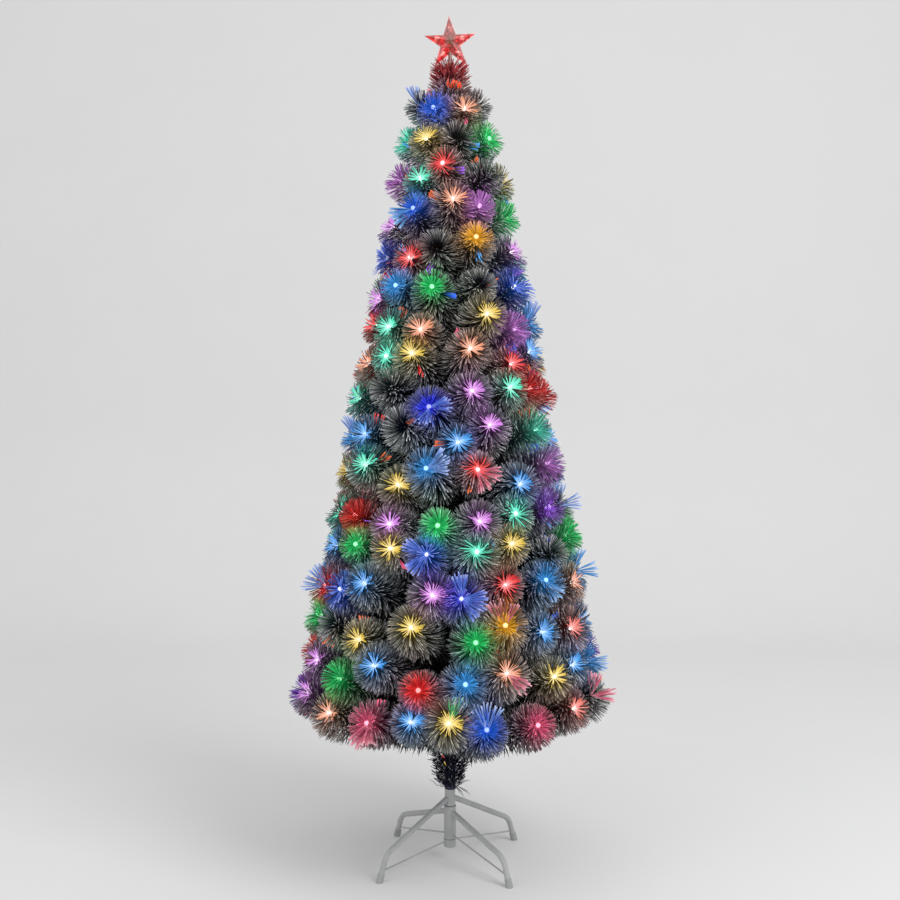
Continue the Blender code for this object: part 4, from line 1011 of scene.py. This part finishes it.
# The leader's dark root colour is a dark red: the needles' own dark with the star's red light painted into it
leader = {
    "low": 1.548, "high": 1.676, "foot": 1.5300, "top": 1.7150, "wire": 0.0020, "needles": 1150,
    "lean": (78, 52), "leanSpread": 0.10, "length": (0.062, 0.046), "lengthSpread": (0.85, 1.05),
    "sway": 0.2, "curl": (0.12, 0.08), "radius": 0.0014, "profile": (0, 0.65, 1.0, 0),
    "frost": (0.15, 0.8, 1), "frosted": (0.40, 0.85), "bright": (0.6, 1.15), "dark": (0.030, 0.006, 0.008),
    "seed": 57,
}
dashes = {
    "many": 12, "across": (-0.0075, 0.0200), "unevenness": 0.0008, "depth": -0.034, "height": (1.633, 1.640),
    "slant": (0.0015, 0.0050), "forward": -0.003, "rise": (0.012, 0.021), "radius": 0.0017,
    "colour": (1.0, 0.09, 0.015),
}


def makeLeader(spec, body):
    # Needles round an upright wire: their lean closes from the first value to the second as they climb
    chance = np.random.default_rng(spec["seed"])
    climb = (np.arange(spec["needles"]) + 0.5) / spec["needles"]
    height = spec["low"] + (spec["high"] - spec["low"]) * climb
    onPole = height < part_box("pole_top")[1][2]
    radius = np.where(onPole, layout["poleRadius"], spec["wire"] * 0.6)
    needles = risingNeedles(spec, chance, radius, height, climb, climb)
    putNeedles("leader_needles", [needles], body, "leader", spec["dark"])
    wire = np.array([[[0, 0, height] for height in np.linspace(spec["foot"], spec["top"], 8)]])
    putMesh("leader_wire", tubePart(wire, spec["wire"], 8), wireLook, body)
    # Short lit dashes low on its front, the ends of fibres seen from the side
    many = dashes["many"]
    across = np.linspace(*dashes["across"], many) + chance.normal(0, dashes["unevenness"], many)
    foot = np.stack([across, np.full(many, dashes["depth"]), chance.uniform(*dashes["height"], many)], 1)
    slant, forward = chance.uniform(*dashes["slant"], many), np.full(many, dashes["forward"])
    run = np.stack([slant, forward, chance.uniform(*dashes["rise"], many)], 1)
    lines = foot[:, None] + run[:, None] * np.array((0, 0.2, 0.5, 0.9, 1.0))[None, :, None]
    part = litPart(
        lines, dashes["radius"], [0, 0.7, 1.0, 1.0, 0], np.array(dashes["colour"]), (0, 0, 0, 0.05, 0.1),
        (0.2, 0.5, 0.8, 0.9, 0.9),
    )
    putMesh("leader_fibres", part, strandLook, body)


makeLeader(leader, "top_section")
print("leader made")

# Star: two clear faceted shells with five small lamps between them

star = {
    "centre": (0, 1.7429), "radius": 0.0575, "valley": 0.39, "points": 5, "halfDepth": 0.0140, "gap": 0.0002,
    "wall": 0.0020, "rim": 0.90, "ridge": 0.0007, "ridgeWidth": 0.07, "perPoint": 24, "rings": 26,
    "turned": 0.04, "armStart": 0.020, "armReach": 0.0105, "armPower": (0.40, 0.92, 1.00, 0.60, 0.92),
    "armColour": (
        (1.0, 0.10, 0.11), (1.0, 0.02, 0.02), (1.0, 0.015, 0.015), (1.0, 0.10, 0.12), (1.0, 0.03, 0.03),
    ),
    "lampAt": 0.0290, "lampRadius": 0.0023, "lampTone": (1.0, 0.42, 0.38), "leadRadius": 0.0006,
    "leadFrom": 0.0150, "leadAside": 0.0012, "middle": (0.17, 0.115, 0.095), "edge": (0.55, 0.22, 0.21),
    "edgeGlow": (0.50, 0.16, 0.15), "edgeFrom": (0.86, 0.97), "stem": (0.26, 0.085, 0.020),
    "stemWidth": 0.0042, "stemTop": (1.744, 1.750), "stemShown": 0.8, "lit": (0.26, 0.006, 0.008),
    "litHeld": 1.3, "litGlow": 0.78, "spotReach": 0.0034, "spotGlow": (2.0, 1.15, 1.05),
}


def starOutline(spec, turn):
    # Distance to the star's edge at an angle from straight up: the straight side between a point and a valley
    step = fullTurn / spec["points"]
    half = step / 2
    part = np.abs((turn + half) % step - half)
    valley = spec["radius"] * spec["valley"]
    # Line through (radius, 0) and (valley * cos half, valley * sin half)
    x, y = valley * math.cos(half), valley * math.sin(half)
    return spec["radius"] * y / (y * np.cos(part) + (spec["radius"] - x) * np.sin(part))


def starSurface(spec, turn, share, front, outer):
    # One face of a shell: the outline shrunk by share, raised like a roof with ridges to points and valleys
    edge = starOutline(spec, turn)
    step = fullTurn / spec["points"]
    offRidge = np.abs((turn + step / 2) % step - step / 2) / (step / 2)
    rise = (spec["halfDepth"] - spec["gap"]) * np.minimum(1, (1 - share) / spec["rim"])
    crest = spec["ridge"] * np.exp(-(offRidge / spec["ridgeWidth"]) ** 2) * np.minimum(1, 6 * share)
    crest = crest * (share < spec["rim"] + 0.05)
    depth = spec["gap"] + rise + (crest if outer else 0)
    if not outer:
        depth = np.maximum(spec["gap"], depth - spec["wall"])
        edge = edge - spec["wall"] * 1.4
    sign = -1 if front else 1
    x = spec["centre"][0] + edge * share * np.sin(turn - spec["turned"])
    z = spec["centre"][1] + edge * share * np.cos(turn - spec["turned"])
    return np.stack(np.broadcast_arrays(x, sign * depth, z), -1)


def armOf(spec, arm):
    # The way an arm points, sideways and up, counted from the top arm to the left
    angle = -fullTurn * arm / spec["points"] - spec["turned"]
    return np.array([math.sin(angle), math.cos(angle)])


def starLightOn(spec, points):
    # Lamp light painted onto the shell: in an arm it falls off with the distance from the line between its
    # lamp and its point, and it is hottest right over the lamp
    light, hot = np.zeros((len(points), 3)), np.zeros(len(points))
    flat = points[:, [0, 2]] - np.array(spec["centre"])
    for arm, (power, colour) in enumerate(zip(spec["armPower"], spec["armColour"])):
        toward = armOf(spec, arm)
        run = np.clip(flat @ toward, spec["armStart"], spec["radius"] * 0.95)
        away = np.linalg.norm(flat - run[:, None] * toward, axis=1)
        light += (power * np.exp(-(away / spec["armReach"]) ** 2))[:, None] * colour
        near = np.linalg.norm(flat - spec["lampAt"] * toward, axis=1)
        hot += power * np.exp(-(near / spec["spotReach"]) ** 2)
    return light, hot


def makeStarShell(spec, name, front, body):
    # Outer and inner face in rings from crest to edge and back, closed by one point at each end
    rings, columns = spec["rings"], spec["points"] * spec["perPoint"]
    turn = fullTurn * np.arange(columns) / columns
    share = np.linspace(0, 1, rings + 1)[1:]
    outer = starSurface(spec, turn[None], share[:, None], front, True)
    inner = starSurface(spec, turn[None], share[:, None], front, False)[::-1]
    sign = -1 if front else 1
    x, z = spec["centre"]
    crest, hollow = [[x, sign * spec["halfDepth"], z]], [[x, sign * (spec["halfDepth"] - spec["wall"]), z]]
    points = np.concatenate([crest, outer.reshape(-1, 3), inner.reshape(-1, 3), hollow])
    a, b, c, d = gridCorners(2 * rings, columns, first=1)
    k = np.arange(columns)
    following = (k + 1) % columns
    last = 1 + (2 * rings - 1) * columns
    triangles = np.concatenate([
        np.stack([0 * k, 1 + k, 1 + following], 1), np.stack([a, d, b], 1), np.stack([b, d, c], 1),
        np.stack([0 * k + last + columns, last + following, last + k], 1),
    ])
    if not front:
        triangles = triangles[:, ::-1]
    outward = np.concatenate([[0], np.repeat(share, columns), np.repeat(share[::-1], columns), [0]])
    # The shell's colour and glow carry painted light: deep red where an arm is lit, a paler rim with a
    # painted glow, and a painted hot spot over each lamp
    rimward = smooth(*spec["edgeFrom"], outward)
    light, hot = starLightOn(spec, points)
    held = np.clip(light.max(1) * spec["litHeld"], 0, 1)
    shade = blendColours(np.array(spec["middle"]), np.array(spec["edge"]), rimward)
    # The stem shows through the clear middle
    stem = np.exp(-(points[:, 0] / spec["stemWidth"]) ** 2) * (1 - smooth(*spec["stemTop"], points[:, 2]))
    shade = blendColours(shade, np.array(spec["stem"]), stem * spec["stemShown"])
    shade = blendColours(shade, np.array(spec["lit"]), held)
    glow = light * spec["litGlow"] + rimward[:, None] * np.array(spec["edgeGlow"])
    glow = glow + hot[:, None] * np.array(spec["spotGlow"])
    shell = {"points": points, "triangles": triangles, "shade": shade, "glow": glow}
    piece = putMesh(name, shell, starLook, body)
    piece.data.set_sharp_from_angle(angle=math.radians(12))
    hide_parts("star_front" if front else "star_back")


def makeStarLamps(spec, body):
    # A small round-nosed lamp half way along each arm, on a pair of leads from the board
    parts, leads = [], []
    middle = np.array([spec["centre"][0], 0, spec["centre"][1]])
    for arm in range(spec["points"]):
        x, z = armOf(spec, arm)
        toward, across = np.array([x, 0, z]), np.array([z, 0, -x])
        places = spec["lampAt"] + spec["lampRadius"] * np.array([-1.5, -1.4, -0.6, 0.4, 1.0, 1.3])
        line = (middle + places[:, None] * toward)[None]
        bright = spec["armPower"][arm] * np.array([0.8, 0.8, 1.4, 2.0, 2.0, 2.0])
        profile = [0, 1.0, 1.0, 0.92, 0.5, 0]
        tone = np.array(spec["lampTone"])
        parts.append(litPart(line, spec["lampRadius"], profile, tone, np.full(6, 0.15), bright, sides=12))
        for side in (-1, 1):
            run = np.linspace(spec["leadFrom"], spec["lampAt"] - spec["lampRadius"] * 1.3, 5)
            leads.append(middle + run[:, None] * toward + across * side * spec["leadAside"])
    putMesh("star_lamps", joinParts(parts), strandLook, body)
    tubes = tubePart(np.array(leads), spec["leadRadius"], 6)
    putMesh("star_leads", tubes, nodeFinishes["zinc"], body)


def clearFinish(name):
    # Clear moulded plastic cut like crystal inside, with the lamps' light painted into its glow and broken by
    # its cuts into painted glints
    material, tree, shader = newFinish(name)
    ripple = noiseOn(tree, 300, 2)
    inputs = {"Vector": ownPlace(tree), "Scale": 150}
    cuts = addNode(tree, "ShaderNodeTexVoronoi", inputs).outputs["Distance"]
    glow = addNode(tree, "ShaderNodeAttribute", attribute_name="glow").outputs["Color"]
    setInputs(tree, shader, {
        "Base Color": brokenUp(tree, "shade", ripple, 0.80, 1.15),
        "Emission Color": mixed(tree, 1.0, glow, ranged(tree, cuts, 1.70, 0.22, 0.10, 0.60), "MULTIPLY"),
        "Emission Strength": 1, "Transmission Weight": 0.14, "Specular IOR Level": 0.30, "IOR": 1.49,
        "Roughness": ranged(tree, ripple, 0.14, 0.32),
    })
    addBump(tree, shader, cuts, 0.35, 0.0010)
    return material


def lampBoardFinish(name, spec):
    # Green board in the middle, lamps that shine outside its radius. Distance is taken from the star's centre
    material, tree, shader = newFinish(name)
    inputs = {0: ownPlace(tree), 1: (spec["centre"][0], 0, spec["centre"][1])}
    distance = addNode(tree, "ShaderNodeVectorMath", inputs, operation="DISTANCE").outputs["Value"]
    outside = ranged(tree, distance, 0, 1, 0.0088, 0.0100)
    speckle = noiseOn(tree, 900, 3)
    board = mixed(tree, speckle, (0.008, 0.045, 0.018), (0.05, 0.14, 0.06))
    setInputs(tree, shader, {
        "Base Color": mixed(tree, outside, board, (0.9, 0.25, 0.22)),
        "Emission Color": mixed(tree, outside, (0, 0, 0), (1.0, 0.34, 0.30)), "Emission Strength": 2.2,
        "Roughness": ranged(tree, speckle, 0.3, 0.5),
    })
    addBump(tree, shader, speckle, 0.3, 0.0003)
    return material


nodeFinishes = {
    "stand_steel": patternFinish("stand paint"), "cap_plastic": patternFinish("foot cap"),
    "zinc": patternFinish("zinc"), "pole_paint": patternFinish("pole paint"),
    "black_plastic": patternFinish("black plastic"), "white_plastic": patternFinish("white plastic"),
    "star_light": lampBoardFinish("lamp board", star),
}
starLook = clearFinish("clear star plastic")
makeStarShell(star, "star_shell_front", True, "star")
makeStarShell(star, "star_shell_back", False, "star")
makeStarLamps(star, "star")
print("star made")

# Stand, pole and small fittings: the model's own pieces with their finishes

amberStem = patternFinish("amber stem")


def dressNodes():
    # Each of the model's pieces gets the finish of its own slot, and the star's socket an amber one
    for piece in nodes.values():
        for slot in piece.material_slots:
            name = slot.material.name.split(".")[0]
            if name in nodeFinishes:
                slot.material = nodeFinishes[name]
    for slot in nodes["star_socket"].material_slots:
        slot.material = amberStem


dressNodes()
print("stand and pole finished")

# Room: pale floor that sweeps up behind the tree, soft light from all round

room = {
    "pale": (0.80, 0.80, 0.80), "darker": 0.97, "world": 0.72, "halfWidth": 7.0, "near": -6.0,
    "bendFrom": 2.2, "bend": 1.0, "wallTop": 6.0, "aimAt": (0, 0, 0.9),
    "lamps": (("key", (2.4, -2.4, 3.2), 84, 2.2), ("fill", (-2.6, -2.2, 2.2), 20, 2.4)),
}


def addRoom(spec):
    # Floor and wall in one sheet: a quarter circle joins them. Its profile is carried along X
    start, bend = spec["bendFrom"], spec["bend"]
    turn = np.linspace(0, math.pi / 2, 13)
    sweep = np.stack([start + bend * np.sin(turn), bend * (1 - np.cos(turn))], 1)
    profile = np.concatenate([[[spec["near"], 0]], sweep, [[start + bend, spec["wallTop"]]]])
    n = len(profile)
    sides = (-spec["halfWidth"], spec["halfWidth"])
    points = np.concatenate([np.column_stack([np.full(n, x), profile]) for x in sides])
    faces = [(i, n + i, n + i + 1, i + 1) for i in range(n - 1)]
    mesh = bpy.data.meshes.new("floor")
    mesh.from_pydata(points.tolist(), [], faces)
    mesh.shade_smooth()
    floor = bpy.data.objects.new("floor", mesh)
    bpy.context.scene.collection.objects.link(floor)
    material, tree, shader = newFinish("pale floor")
    darker = [tone * spec["darker"] for tone in spec["pale"]]
    tone = mixed(tree, noiseOn(tree, 3, 2), darker, spec["pale"])
    setInputs(tree, shader, {"Base Color": tone, "Roughness": 0.9})
    mesh.materials.append(material)
    world = bpy.data.worlds.new("studio")
    world.use_nodes = True
    light = world.node_tree.nodes["Background"]
    setInputs(world.node_tree, light, {"Color": (1, 1, 1, 1), "Strength": spec["world"]})
    bpy.context.scene.world = world
    for name, place, power, size in spec["lamps"]:
        lamp = bpy.data.lights.new(name, "AREA")
        lamp.energy = power
        lamp.size = size
        holder = bpy.data.objects.new(name, lamp)
        holder.location = place
        x, y, z = np.array(spec["aimAt"]) - np.array(place)
        holder.rotation_euler = (math.atan2(math.hypot(x, y), -z), 0, math.atan2(y, x) - math.pi / 2)
        bpy.context.scene.collection.objects.link(holder)


addRoom(room)
bpy.context.scene.view_settings.view_transform = "Standard"

bpy.context.view_layer.update()
